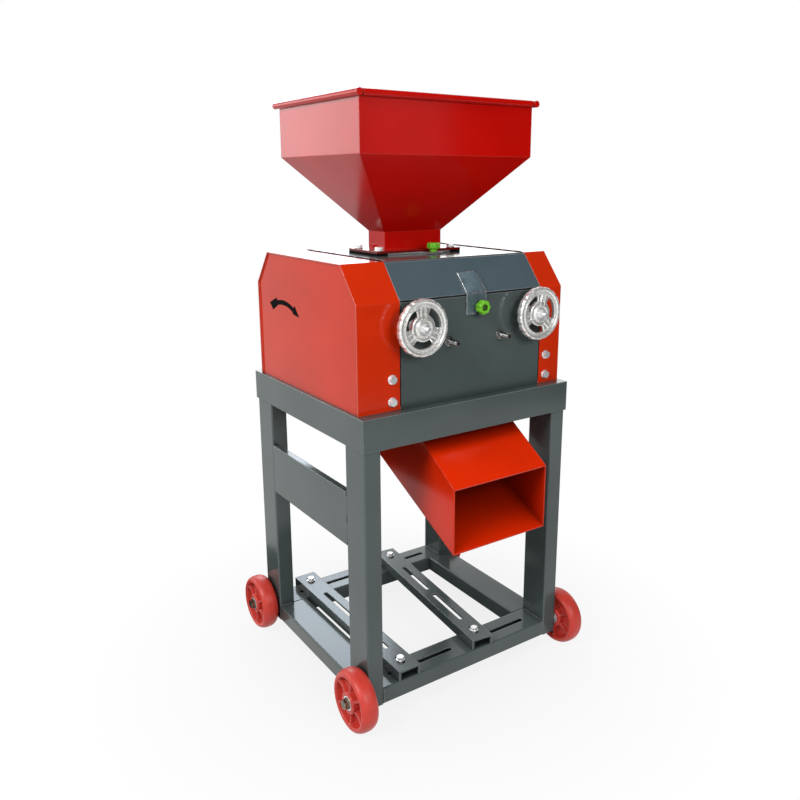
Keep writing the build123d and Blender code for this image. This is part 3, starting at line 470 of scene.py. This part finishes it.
def metal_or_rubber(slot):
    """A finish that has its own fixed colour."""
    name = "finish_" + slot
    if slot == "rubber":
        return make_moulding(name, (0.008, 0.008, 0.009), 0.8, 1400.0, 0.15)
    # Near-black finish that stands in for the shadow inside gaps: painted shade.
    if slot == "gap":
        return make_moulding(name, (0.004, 0.004, 0.004), 0.85, 700.0, 0.05)
    if slot == "zinc":
        return make_plated(name, (0.95, 0.95, 0.95), (0.82, 0.83, 0.85), 0.12, 0.24, 420.0, metallic=0.65)
    if slot == "stud_steel":
        return make_plated(name, (0.42, 0.42, 0.41), (0.22, 0.22, 0.22), 0.16, 0.3, 420.0)
    if slot == "chrome":
        return make_plated(name, (0.92, 0.92, 0.90), (0.76, 0.76, 0.73), 0.16, 0.34, 70.0, relief=0.5, metallic=0.7)
    if slot == "machined_steel":
        return make_plated(name, (0.56, 0.56, 0.57), (0.48, 0.48, 0.5), 0.24, 0.42, 260.0, (0.08, 1.0, 1.0))
    if slot == "axle_steel":
        return make_plated(name, (0.34, 0.30, 0.22), (0.08, 0.07, 0.06), 0.24, 0.45, 300.0)
    if slot == "cast_iron":
        return make_casting(name, (0.09, 0.09, 0.095))
    raise ValueError("No finish is known for slot " + slot)


def finish(slot):
    """The material of a slot, made when it is first asked for."""
    known = bpy.data.materials.get("finish_" + slot)
    colours = bpy.context.scene.feed_crusher.colours
    return known or paint_or_plastic(slot, colours) or metal_or_rubber(slot)


# Settings that a user would change

class CrusherColours(bpy.types.PropertyGroup):
    """Colours of the paints, plastics and ink."""

    hopper_enamel: FloatVectorProperty(
        name="Hopper enamel", description="Deep red paint of the hopper", subtype="COLOR",
        size=3, min=0.0, max=1.0, default=(0.45, 0.003, 0.001))
    guard_enamel: FloatVectorProperty(
        name="Guard enamel", description="Orange-red paint of the side guards", subtype="COLOR",
        size=3, min=0.0, max=1.0, default=(0.55, 0.025, 0.003))
    chute_enamel: FloatVectorProperty(
        name="Chute enamel", description="Bright orange-red paint of the discharge chute", subtype="COLOR",
        size=3, min=0.0, max=1.0, default=(0.66, 0.022, 0.001))
    grey_enamel: FloatVectorProperty(
        name="Grey enamel", description="Paint of the stand and the housing", subtype="COLOR",
        size=3, min=0.0, max=1.0, default=(0.066, 0.085, 0.083))
    cover_enamel: FloatVectorProperty(
        name="Cover enamel", description="Bluer grey paint of the inspection cover", subtype="COLOR",
        size=3, min=0.0, max=1.0, default=(0.068, 0.098, 0.115))
    wheel_plastic: FloatVectorProperty(
        name="Wheel plastic", description="Moulded plastic of the four wheels", subtype="COLOR",
        size=3, min=0.0, max=1.0, default=(0.58, 0.045, 0.030))
    knob_plastic: FloatVectorProperty(
        name="Knob plastic", description="Moulded plastic of the two star knobs", subtype="COLOR",
        size=3, min=0.0, max=1.0, default=(0.14, 0.46, 0.015))
    arrow_ink: FloatVectorProperty(
        name="Arrow ink", description="Ink of the rotation arrow on the left guard", subtype="COLOR",
        size=3, min=0.0, max=1.0, default=(0.003, 0.003, 0.003))
    orange_peel: FloatProperty(
        name="Orange peel", description="Strength of the ripple in the enamel", subtype="FACTOR",
        min=0.0, max=1.0, default=0.10)


class CrusherSizes(bpy.types.PropertyGroup):
    """Sizes of the pieces that replace plain CAD parts."""

    spoke_width: FloatProperty(
        name="Spoke width", description="Narrowest width of a handwheel's spokes", unit="LENGTH",
        min=0.013, max=0.024, default=0.0185)
    grip_depth: FloatProperty(
        name="Grip depth", description="Depth of the finger grips round a handwheel", unit="LENGTH",
        min=0.0, max=0.003, default=0.0014)
    grip_count: IntProperty(
        name="Grips", description="Number of finger grips round a handwheel", min=6, max=30, default=18)
    wheel_ribs: IntProperty(
        name="Wheel ribs", description="Number of ribs on each side of a wheel", min=3, max=12, default=6)
    knob_lobes: IntProperty(
        name="Knob lobes", description="Number of lobes of a star knob", min=5, max=9, default=7)
    bead_radius: FloatProperty(
        name="Bead radius", description="Radius of the stand's weld beads", unit="LENGTH",
        min=0.0005, max=0.004, default=0.0019)
    arrow_radius: FloatProperty(
        name="Arrow radius", description="Radius of the rotation arrow's middle line", unit="LENGTH",
        min=0.05, max=0.12, default=0.1045)
    arrow_width: FloatProperty(
        name="Arrow width", description="Width of the rotation arrow's body", unit="LENGTH",
        min=0.004, max=0.02, default=0.009)


class CrusherStudio(bpy.types.PropertyGroup):
    """Light levels of the studio."""

    room_level: FloatProperty(
        name="Room", description="Even light from all round", min=0.0, max=2.0, default=0.34)
    key_level: FloatProperty(
        name="Key", description="Power of the lamp high on the left", unit="POWER", min=0.0, max=500.0, default=70.0)
    fill_level: FloatProperty(
        name="Fill", description="Power of the lamp above the front", unit="POWER", min=0.0, max=500.0, default=36.0)


class CrusherSettings(bpy.types.PropertyGroup):
    """All settings of the crusher's finish."""

    colours: PointerProperty(type=CrusherColours)
    sizes: PointerProperty(type=CrusherSizes)
    studio: PointerProperty(type=CrusherStudio)


# Paint on the CAD parts

class OBJECT_OT_crusher_paint(bpy.types.Operator):
    """Gives every CAD part the finish that its record names"""

    bl_idname = "object.crusher_paint"
    bl_label = "Paint parts"
    bl_options = {"REGISTER", "UNDO"}

    def execute(self, context):
        # gate_guide gets the near-black shadow gap finish: painted shade under the hopper flange.
        special = {"clasp_bracket": "clasp_paint", "hopper": "hopper_paint", "hopper_flange": "shaded_flange_paint",
                   "gate_guide": "gap", "discharge_chute": "chute_paint", "wheel_axles": "axle_steel",
                   "wheel_bearings": "zinc", "inspection_cover": "cover_paint"}
        for part in frame["record"]["subparts"]:
            slot = special.get(part["node"], part["material_slot"])
            mesh = frame["nodes"][part["node"]].data
            mesh.materials.clear()
            mesh.materials.append(finish(slot))
        return {"FINISHED"}


# Handwheels and screws

def add_spoke(bm, place, hub, rim, width, low, high):
    """A flat spoke that widens towards the rim, with two ridges along its middle; local X runs outwards."""
    loops = []
    steps = 18
    for i in range(steps + 1):
        share = i / steps
        half = 0.5 * width * (1.1 + 0.35 * (1 - share) ** 4 + 1.0 * share ** 2.2)
        away = hub + (rim - hub) * share
        bottom = low + 0.001 * (1 - abs(2 * share - 1))
        plate = high - 0.0024
        right = [(half - 0.001, bottom), (half, bottom + 0.0022), (half, plate - 0.0016), (half - 0.0014, plate),
                 (0.0062, plate), (0.0052, high), (0.0036, high), (0.0027, plate - 0.0006)]
        left = [(-side, height) for side, height in reversed(right)]
        section = left[-1:] + right + left[:-1]
        loops.append([place @ Vector((away, side, height)) for side, height in section])
    add_loft(bm, loops)


def make_handwheel(node, body, first_spoke, sizes):
    """A cast handwheel with a crowned rim, a lip inside it, three ridged spokes and a stepped hub."""
    low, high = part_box(node)
    radius = (high[0] - low[0]) / 2
    middle = centre(node)
    place = at(middle.x, high[1], middle.z, TO_FRONT)
    length = high[1] - low[1]
    front = length - 0.002
    bm = bmesh.new()
    rim = [(0.715 * radius, front - 0.0105), (0.71 * radius, front - 0.0030), (0.73 * radius, front - 0.0012),
           (0.765 * radius, front - 0.0012), (0.79 * radius, front - 0.0034), (0.815 * radius, front - 0.0036),
           (0.84 * radius, front - 0.0012), (0.89 * radius, front), (0.94 * radius, front - 0.0002),
           (0.985 * radius, front - 0.0022), (radius, front - 0.0054), (radius, front - 0.0092),
           (0.975 * radius, front - 0.0124), (0.93 * radius, front - 0.013), (0.79 * radius, front - 0.0118)]
    count = sizes.grip_count

    def gripped(angle, at_radius, height):
        if at_radius < 0.95 * radius:
            return at_radius
        bite = max(0.0, math.cos(count * angle)) ** 2
        return at_radius - sizes.grip_depth * bite
    add_turned(bm, place, softened(rim, 0.0014), 12 * count, gripped)
    for i in range(3):
        turn = Matrix.Rotation(math.radians(first_spoke + 120 * i), 4, "Z")
        add_spoke(bm, place @ turn, 0.27 * radius, 0.74 * radius, sizes.spoke_width, front - 0.0108, front - 0.0016)
    web = [(0.2 * radius, front - 0.0108), (0.46 * radius, front - 0.0108), (0.47 * radius, front - 0.0086),
           (0.47 * radius, front - 0.0036), (0.445 * radius, front - 0.0022), (0.2 * radius, front - 0.0022)]
    add_turned(bm, place, softened(web, 0.0010), 72)
    hub = [(0.0082, 0), (0.235 * radius, 0), (0.25 * radius, 0.002), (0.28 * radius, front - 0.0108),
           (0.33 * radius, front - 0.0024), (0.322 * radius, length - 0.0018), (0.30 * radius, length - 0.0004),
           (0.27 * radius, length - 0.0004), (0.25 * radius, length - 0.0022), (0.0082, length - 0.0022)]
    add_turned(bm, place, softened(hub, 0.0009), 72)
    piece = add_piece(node + "_casting", bm, finish("chrome"), body, 38.0)
    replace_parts(piece, node)


def make_screw(node, body):
    """An adjusting screw with two collars, its threaded end and a chamfered nut."""
    low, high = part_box(node)
    middle = centre(node)
    place = at(middle.x, 0, middle.z, TO_FRONT)
    tip, front = -high[1], -low[1]
    shoulder = -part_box("screw_bar")[1][1]
    panel = -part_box("cover_seal")[0][1]
    bm = bmesh.new()
    rod = threaded_outline(SCREW_RADIUS, tip, shoulder, SCREW_PITCH, 0.0012)
    add_turned(bm, place, rod, 36, screw_thread(SCREW_RADIUS - 0.0001, SCREW_PITCH, 0.0011))
    wheel_front = -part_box("handwheel_left")[0][1]
    start, end = shoulder - 0.001, wheel_front - 0.0024
    add_turned(bm, place, softened([(0, start), (SCREW_RADIUS, start), (SCREW_RADIUS, end), (0, end)], 0.0004), 36)
    for start, end in ((shoulder - 0.0063, shoulder - 0.0003), (panel + 0.0003, panel + 0.008)):
        add_turned(bm, place, softened([(0.007, start), (0.0112, start), (0.0112, end), (0.007, end)], 0.0008), 48)
    rod = threaded_outline(SCREW_END, wheel_front - 0.003, front, BOLT_PITCH, 0.0009)
    add_turned(bm, place, rod, 36, screw_thread(SCREW_END - 0.0001, BOLT_PITCH, 0.0007))
    add_nut(bm, place, NUT_FLAT, wheel_front - 0.0022, wheel_front + 0.0042)
    piece = add_piece(node + "_threaded", bm, finish("zinc"), body)
    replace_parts(piece, node)


class MESH_OT_crusher_handwheels(bpy.types.Operator):
    """Casts the two handwheels and threads their adjusting screws"""

    bl_idname = "mesh.crusher_handwheels"
    bl_label = "Handwheels and screws"
    bl_options = {"REGISTER", "UNDO"}

    def execute(self, context):
        sizes = context.scene.feed_crusher.sizes
        make_handwheel("handwheel_left", "left_screw", 90.0, sizes)
        make_handwheel("handwheel_right", "right_screw", 75.0, sizes)
        make_screw("adjusting_screw_left", "left_screw")
        make_screw("adjusting_screw_right", "right_screw")
        return {"FINISHED"}


# Wheels

def make_wheel(node, place, ribs):
    """A moulded wheel with a crowned tread, a lip, a recessed web and tapered ribs on both sides."""
    low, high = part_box(node)
    radius = (high[2] - low[2]) / 2
    half = (high[0] - low[0]) / 2
    hub, web, lip = 0.365 * radius, 0.745 * radius, 0.81 * radius
    bm = bmesh.new()
    face = [(0.0131, half - 0.0006), (0.0145, half), (0.9 * hub, half), (0.98 * hub, half - 0.0018), (hub, 0.0030),
            (web, 0.0028), (0.985 * lip - 0.001, half - 0.0032), (lip, half - 0.0012), (0.87 * radius, half - 0.0008),
            (0.925 * radius, half - 0.0026), (0.965 * radius, half - 0.0062), (0.992 * radius, half - 0.0105),
            (radius, 0.004)]
    back = [(away, -height) for away, height in reversed(face)]
    add_turned(bm, place, softened(face + back, 0.0014), 96)
    for i in range(ribs):
        turn = place @ Matrix.Rotation(2 * math.pi * i / ribs, 4, "Z")
        for side in (1, -1):
            loops = []
            for step in range(7):
                share = step / 6
                away = 0.93 * hub + (0.99 * lip - 0.93 * hub) * share
                width = 0.0016 + 0.0007 * abs(2 * share - 1) ** 2
                top = half - 0.0034 - 0.0024 * math.sin(math.pi * share)
                section = [(-width - 0.0008, 0.002), (width + 0.0008, 0.002), (width, top - 0.0008),
                           (width - 0.0006, top), (-width + 0.0006, top), (-width, top - 0.0008)]
                loops.append([turn @ Vector((away, across, side * height)) for across, height in section])
            add_loft(bm, loops)
    piece = add_piece(node + "_moulding", bm, finish("red_plastic"), node, 36.0)
    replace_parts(piece, node)


class MESH_OT_crusher_wheels(bpy.types.Operator):
    """Moulds the four ribbed wheels"""

    bl_idname = "mesh.crusher_wheels"
    bl_label = "Wheels"
    bl_options = {"REGISTER", "UNDO"}

    def execute(self, context):
        ribs = context.scene.feed_crusher.sizes.wheel_ribs
        for end in ("front", "rear"):
            for side, turn in (("left", TO_LEFT), ("right", TO_RIGHT)):
                node = f"wheel_{end}_{side}"
                make_wheel(node, at(*centre(node), turn), ribs)
        return {"FINISHED"}


# Star knobs

def make_knob(node, body, place, radius, height, lobes):
    """A star knob with rounded lobes, a neck and a dark plug in its middle."""
    bm = bmesh.new()
    outline = [(0, 0), (0.52 * radius, 0), (0.56 * radius, 0.05 * height), (0.54 * radius, 0.24 * height),
               (0.66 * radius, 0.31 * height), (0.96 * radius, 0.36 * height), (radius, 0.5 * height),
               (radius, 0.78 * height), (0.93 * radius, 0.92 * height), (0.78 * radius, 0.985 * height),
               (0.5 * radius, 0.96 * height), (0.44 * radius, 0.93 * height), (0.43 * radius, 0.84 * height),
               (0, 0.84 * height)]

    def lobed(angle, at_radius, height):
        share = max(0.0, (at_radius / radius - 0.5) / 0.5)
        valley = abs(math.sin(0.5 * lobes * angle)) ** 3
        return at_radius * (1 - 0.17 * share * valley)
    add_turned(bm, place, softened(outline, 0.0011), 16 * lobes, lobed)
    piece = add_piece(node + "_star", bm, finish("green_plastic"), body, 40.0)
    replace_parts(piece, node)
    bm = bmesh.new()
    plug = [(0, 0.82 * height), (0.42 * radius, 0.82 * height), (0.42 * radius, 0.93 * height),
            (0.32 * radius, 0.975 * height), (0, 0.985 * height)]
    add_turned(bm, place, softened(plug, 0.0005), 40)
    add_piece(node + "_plug", bm, finish("knob_plug"), body)


class MESH_OT_crusher_knobs(bpy.types.Operator):
    """Moulds the star knobs of the cover and the feed gate"""

    bl_idname = "mesh.crusher_knobs"
    bl_label = "Star knobs"
    bl_options = {"REGISTER", "UNDO"}

    def execute(self, context):
        lobes = context.scene.feed_crusher.sizes.knob_lobes
        low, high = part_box("cover_knob")
        middle = centre("cover_knob")
        place = at(middle.x, high[1], middle.z, TO_FRONT)
        make_knob("cover_knob", "cover_knob", place, 0.9 * (high[2] - low[2]) / 2, high[1] - low[1], lobes)
        low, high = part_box("gate_knob")
        middle = centre("gate_knob")
        place = at(middle.x, middle.y, high[2] - 0.017)
        make_knob("gate_knob", "gate_knob", place, (high[1] - low[1]) / 2, 0.017, lobes)
        return {"FINISHED"}


# Bolts, studs and nuts

class MESH_OT_crusher_fasteners(bpy.types.Operator):
    """Threads the bolts of the guards, rails and hopper, and the two lock studs"""

    bl_idname = "mesh.crusher_fasteners"
    bl_label = "Fasteners"
    bl_options = {"REGISTER", "UNDO"}

    def execute(self, context):
        bm = bmesh.new()
        for low, high in islands("guard_bolts"):
            middle = (low + high) / 2
            if middle.y < 0:
                place = at(middle.x, low.y + BOLT_CROWN, middle.z, TO_FRONT)
            else:
                place = at(middle.x, high.y - BOLT_CROWN, middle.z, TO_REAR)
            add_bolt(bm, place, 0.006)
        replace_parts(add_piece("guard_bolt_set", bm, finish("zinc"), "stand"), "guard_bolts")
        for node, body, grip in (("rail_bolts_left", "rail_left", 0.052), ("rail_bolts_right", "rail_right", 0.052),
                                 ("hopper_bolts", "stand", 0.011)):
            bm = bmesh.new()
            for low, high in islands(node):
                middle = (low + high) / 2
                add_bolt(bm, at(middle.x, middle.y, high.z - BOLT_CROWN), grip)
            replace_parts(add_piece(node + "_set", bm, finish("zinc"), body), node)
        bm = bmesh.new()
        panel = -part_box("cover_seal")[0][1]
        for low, high in islands("lock_studs"):
            middle = (low + high) / 2
            place = at(middle.x, 0, middle.z, TO_FRONT)
            rod = threaded_outline(STUD_RADIUS, -high.y, -low.y, STUD_PITCH, 0.0008)
            add_turned(bm, place, rod, 30, screw_thread(STUD_RADIUS - 0.0001, STUD_PITCH, 0.0008))
            add_nut(bm, place, NUT_FLAT, panel, panel + WASHER + 0.0048)
        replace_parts(add_piece("lock_stud_set", bm, finish("stud_steel"), "stand"), "lock_studs")
        return {"FINISHED"}


# Weld beads

class MESH_OT_crusher_welds(bpy.types.Operator):
    """Lays weld beads where the stand's tubes and the hopper's neck meet their neighbours"""

    bl_idname = "mesh.crusher_welds"
    bl_label = "Weld beads"
    bl_options = {"REGISTER", "UNDO"}

    def execute(self, context):
        radius = context.scene.feed_crusher.sizes.bead_radius
        bm = bmesh.new()
        for end in ("front", "rear"):
            for side in ("left", "right"):
                low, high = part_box(f"leg_{end}_{side}")
                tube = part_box(f"base_tube_{end}")
                inner = high[0] if side == "left" else low[0]
                add_bead(bm, (inner, low[1] + 0.004, tube[1][2]), (inner, high[1] - 0.004, tube[1][2]), radius)
                for y in (low[1], high[1]):
                    add_bead(bm, (inner, y, tube[0][2] + 0.003), (inner, y, tube[1][2] - 0.001), 0.7 * radius)
                facing = high[1] if end == "front" else low[1]
                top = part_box(f"base_tube_{side}")[1][2]
                add_bead(bm, (low[0] + 0.004, facing, top), (high[0] - 0.004, facing, top), radius)
        low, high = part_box("side_plate")
        for y in (low[1], high[1]):
            for start in (low[2] + 0.006, low[2] + 0.056):
                add_bead(bm, (low[0] + 0.001, y, start), (low[0] + 0.001, y, start + 0.036), 0.8 * radius)
        add_piece("stand_welds", bm, finish("grey_paint"), "stand", 60.0)
        bm = bmesh.new()
        low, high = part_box("hopper_flange")
        neck = 0.0305
        for y in (low[1] + 0.022, high[1] - 0.022):
            add_bead(bm, (low[0] + neck + 0.002, y, high[2]), (high[0] - neck - 0.002, y, high[2]), 0.8 * radius)
        for x in (low[0] + neck, high[0] - neck):
            add_bead(bm, (x, low[1] + 0.024, high[2]), (x, high[1] - 0.024, high[2]), 0.8 * radius)
        add_piece("hopper_welds", bm, finish("hopper_paint"), "stand", 60.0)
        return {"FINISHED"}


# Gaps of the housing

class MESH_OT_crusher_gaps(bpy.types.Operator):
    """Lays near-black beads in the joints between the guards, the top plate and the front panel, as painted shade in
    the gaps
    """

    bl_idname = "mesh.crusher_gaps"
    bl_label = "Sealed gaps"
    bl_options = {"REGISTER", "UNDO"}

    def execute(self, context):
        panel_low, panel_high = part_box("front_panel")
        top_low, top_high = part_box("top_plate")
        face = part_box("guard_left")[0][1]
        # Painted shade: near-black beads along the joints where shadow falls.
        bm = bmesh.new()
        for x in (top_low[0], top_high[0]):
            z = top_high[2] - 0.0002
            add_bead(bm, (x, top_low[1] + 0.002, z), (x, top_high[1] - 0.002, z), 0.0019, 0.03)
            y = face + 0.0004
            add_bead(bm, (x, y, panel_low[2] + 0.003), (x, y, panel_high[2] - 0.002), 0.0011, 0.03)
        add_piece("housing_gaps", bm, finish("gap"), "stand", 60.0)
        return {"FINISHED"}


# Rotation arrow

class MESH_OT_crusher_arrow(bpy.types.Operator):
    """Lays the two-headed rotation arrow on the left guard"""

    bl_idname = "mesh.crusher_arrow"
    bl_label = "Rotation arrow"
    bl_options = {"REGISTER", "UNDO"}

    def execute(self, context):
        sizes = context.scene.feed_crusher.sizes
        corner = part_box("guard_left")[0]
        plate = corner[0] + 0.003
        middle = Vector((0.2768, 0.0509))
        inner = sizes.arrow_radius - sizes.arrow_width / 2
        outer = sizes.arrow_radius + sizes.arrow_width / 2
        first, last = math.radians(77.0), math.radians(113.5)
        front_head = [Vector((0.2279, 0.1551)), Vector((0.2106, 0.1357)), Vector((0.2363, 0.1392))]
        rear_head = [Vector((0.3214, 0.1365)), Vector((0.3363, 0.1490)), Vector((0.3058, 0.1616))]

        def arc(radius, start, end):
            angles = [start + (end - start) * i / 20 for i in range(21)]
            return [middle + radius * Vector((math.cos(angle), math.sin(angle))) for angle in angles]
        outline = arc(outer, first, last) + front_head + arc(inner, last, first) + rear_head
        bm = bmesh.new()
        loops = []
        for lift in (-0.0002, 0.0003):
            loops.append([Vector((plate - lift, corner[1] + point.x, corner[2] + point.y)) for point in outline])
        add_loft(bm, loops)
        add_piece("rotation_arrow", bm, finish("ink"), "stand", 20.0)
        return {"FINISHED"}


# Studio

def seen_share(owner):
    """1 where the camera, a reflection or clear material sees it and 0 where it lights a surface."""
    rays = add_node(owner, "ShaderNodeLightPath")
    seen = maths(owner, "MAXIMUM", rays.outputs["Is Camera Ray"], rays.outputs["Is Glossy Ray"])
    return maths(owner, "MAXIMUM", seen, rays.outputs["Is Transmission Ray"])


def shade_world(world, level):
    """White as seen by the camera and in reflections, and an even lower light on surfaces."""
    world.use_nodes = True
    world.node_tree.nodes.clear()
    room = add_node(world, "ShaderNodeBackground", Color=(0.97, 0.985, 1.0, 1.0), Strength=level)
    white = add_node(world, "ShaderNodeBackground", Color=(1.0, 1.0, 1.0, 1.0), Strength=1.0)
    mix = add_node(world, "ShaderNodeMixShader", _0=seen_share(world), _1=room.outputs["Background"],
                   _2=white.outputs["Background"])
    add_node(world, "ShaderNodeOutputWorld", Surface=mix.outputs["Shader"])


def make_floor_finish():
    """Matt white that keeps the shadow near the object and fades to plain white further out."""
    material = bpy.data.materials.new("studio_floor")
    material.use_nodes = True
    material.node_tree.nodes.clear()
    space = add_node(material, "ShaderNodeTexCoord").outputs["Object"]
    length = add_node(material, "ShaderNodeVectorMath", {"operation": "LENGTH"}, _0=space).outputs["Value"]
    fade = spread(material, length, 0.22, 0.66, 0.84, 1.0)
    share = maths(material, "MULTIPLY", fade, seen_share(material))
    matt = add_node(material, "ShaderNodeBsdfDiffuse", Color=(0.52, 0.52, 0.52, 1.0)).outputs["BSDF"]
    white = add_node(material, "ShaderNodeEmission", Color=(1.0, 1.0, 1.0, 1.0), Strength=1.0).outputs["Emission"]
    mix = add_node(material, "ShaderNodeMixShader", _0=share, _1=matt, _2=white).outputs["Shader"]
    add_node(material, "ShaderNodeOutputMaterial", Surface=mix)
    return material


def make_card_finish():
    """A patchy glow that fades out to the right, for the soft reflection on the hopper's front."""
    material = bpy.data.materials.new("soft_card")
    material.use_nodes = True
    material.node_tree.nodes.clear()
    space = add_node(material, "ShaderNodeTexCoord").outputs["Object"]
    across = add_node(material, "ShaderNodeSeparateXYZ", Vector=space).outputs["X"]
    fade = spread(material, across, 0.68, 0.78, 1.0, 0.0)
    rise = spread(material, across, 0.34, 0.5, 0.35, 1.0)
    patches = spread(material, noise(material, 5.0, 3.0), 0.35, 0.65, 0.55, 1.0)
    level = maths(material, "MULTIPLY", maths(material, "MULTIPLY", fade, rise), patches)
    glow = add_node(material, "ShaderNodeEmission", Color=(1.0, 0.95, 0.9, 1.0), Strength=level).outputs["Emission"]
    add_node(material, "ShaderNodeOutputMaterial", Surface=glow)
    return material


def add_board(name, corners, finish_material):
    """A flat board of the studio."""
    mesh = bpy.data.meshes.new(name)
    mesh.from_pydata(corners, [], [tuple(range(len(corners)))])
    mesh.materials.append(finish_material)
    board = bpy.data.objects.new(name, mesh)
    bpy.context.scene.collection.objects.link(board)
    return board


def add_lamp(name, location, target, width, height, power, colour=(1.0, 1.0, 1.0)):
    """A rectangular soft lamp that faces a point and isn't seen by the camera."""
    light = bpy.data.lights.new(name, "AREA")
    light.shape = "RECTANGLE"
    light.size = width
    light.size_y = height
    light.energy = power
    light.color = colour
    lamp = bpy.data.objects.new(name, light)
    lamp.location = location
    lamp.rotation_euler = (Vector(target) - Vector(location)).to_track_quat("-Z", "Y").to_euler()
    lamp.visible_camera = False
    bpy.context.scene.collection.objects.link(lamp)


class SCENE_OT_crusher_studio(bpy.types.Operator):
    """Sets up the white floor, the dark flags, the soft card, the lamps and the camera"""

    bl_idname = "scene.crusher_studio"
    bl_label = "Studio"
    bl_options = {"REGISTER", "UNDO"}

    def execute(self, context):
        scene = context.scene
        studio = scene.feed_crusher.studio
        world = scene.world or bpy.data.worlds.new("studio_world")
        scene.world = world
        shade_world(world, studio.room_level)
        angles = [math.pi * i / 48 for i in range(96)]
        ring = [(FLOOR_RADIUS * math.cos(angle), FLOOR_RADIUS * math.sin(angle), 0) for angle in angles]
        add_board("studio_floor", ring, make_floor_finish())
        flag_finish = new_finish("flag_cloth", Base_Color=(0.01, 0.01, 0.01), Roughness=1.0, Specular_IOR_Level=0.0)
        upright = [(-0.45, -2.0, 0.15), (2.6, -0.4, 0.15), (2.6, -0.4, 2.0), (-0.45, -2.0, 2.0)]
        outline = [(-0.2, -0.18), (0.4, -0.18), (0.7, -0.6), (2.6, -0.6), (2.6, 1.3), (-0.56, 1.3), (-0.38, 0.85),
                   (-0.36, 0.6), (-0.42, 0.42), (-0.36, 0.26), (-0.2, 0.26)]
        lying = [(x, y, 0.002) for x, y in outline]
        hood = [(-0.45, -2.0, 2.0), (2.6, -0.4, 2.0), (2.6, 1.0, 2.9), (-0.45, 0.3, 2.9)]
        card = [(0.34, -1.15, 0.94), (0.98, -1.15, 0.94), (0.98, -1.15, 1.28), (0.34, -1.15, 1.28)]
        for name, corners, cloth in (("dark_flag", upright, flag_finish), ("dark_mat", lying, flag_finish),
                                     ("dark_hood", hood, flag_finish), ("soft_card", card, make_card_finish())):
            flag = add_board(name, corners, cloth)
            flag.visible_camera = False
            flag.visible_diffuse = False
            flag.visible_shadow = False
            flag.visible_transmission = False
        add_lamp("key_lamp", (-2.6, -0.7, 2.6), (0.0, 0.0, 0.5), 1.4, 1.4, studio.key_level)
        add_lamp("fill_lamp", (0.0, -2.6, 1.6), (0.0, 0.0, 0.5), 1.4, 1.0, studio.fill_level)
        add_lamp("back_box", (0.7, 2.4, 1.75), (-0.2, 0.0, 0.1), 1.3, 0.9, 22.0, (0.78, 0.88, 1.0))
        add_lamp("horizon_strip", (1.5, 2.7, 1.25), (0.0, 0.0, 0.82), 3.4, 0.4, 8.5)
        add_lamp("left_card", (-1.75, 1.95, 1.4), (-0.2, 0.0, 0.95), 1.6, 0.9, 16.0)
        camera_data = bpy.data.cameras.new("camera")
        camera_data.lens = 35.22
        camera_data.sensor_width = 36.0
        camera_data.shift_x = -0.0225
        camera_data.shift_y = -0.0365
        camera = bpy.data.objects.new("camera", camera_data)
        camera.location = (-0.8442, -1.25205, 0.9478)
        camera.rotation_euler = (math.radians(90 - 13.62), 0.0, math.radians(-34.66))
        scene.collection.objects.link(camera)
        scene.camera = camera
        scene.view_settings.view_transform = "Standard"
        return {"FINISHED"}


class VIEW3D_PT_crusher(bpy.types.Panel):
    """Lists the steps and settings of the crusher's finish"""

    bl_idname = "VIEW3D_PT_crusher"
    bl_label = "Feed crusher"
    bl_space_type = "VIEW_3D"
    bl_region_type = "UI"
    bl_category = "Crusher"

    def draw(self, context):
        settings = context.scene.feed_crusher
        for step in STEPS:
            self.layout.operator(step.bl_idname)
        for group in (settings.colours, settings.sizes, settings.studio):
            box = self.layout.box()
            for name in group.bl_rna.properties.keys():
                if name not in ("rna_type", "name"):
                    box.prop(group, name)


STEPS = (
    OBJECT_OT_crusher_paint,
    MESH_OT_crusher_handwheels,
    MESH_OT_crusher_wheels,
    MESH_OT_crusher_knobs,
    MESH_OT_crusher_fasteners,
    MESH_OT_crusher_welds,
    MESH_OT_crusher_gaps,
    MESH_OT_crusher_arrow,
    SCENE_OT_crusher_studio,
)
CLASSES = (CrusherColours, CrusherSizes, CrusherStudio, CrusherSettings, *STEPS, VIEW3D_PT_crusher)


def register():
    """Registers the classes and the scene's settings."""
    for cls in CLASSES:
        bpy.utils.register_class(cls)
    bpy.types.Scene.feed_crusher = PointerProperty(type=CrusherSettings)


def unregister():
    """Removes the settings and the classes."""
    del bpy.types.Scene.feed_crusher
    for cls in reversed(CLASSES):
        bpy.utils.unregister_class(cls)


def main():
    """Registers the classes and runs the steps in order."""
    register()
    bpy.ops.object.crusher_paint()
    bpy.ops.mesh.crusher_handwheels()
    bpy.ops.mesh.crusher_wheels()
    bpy.ops.mesh.crusher_knobs()
    bpy.ops.mesh.crusher_fasteners()
    bpy.ops.mesh.crusher_welds()
    bpy.ops.mesh.crusher_gaps()
    bpy.ops.mesh.crusher_arrow()
    bpy.ops.scene.crusher_studio()


if __name__ == "__main__":
    main()
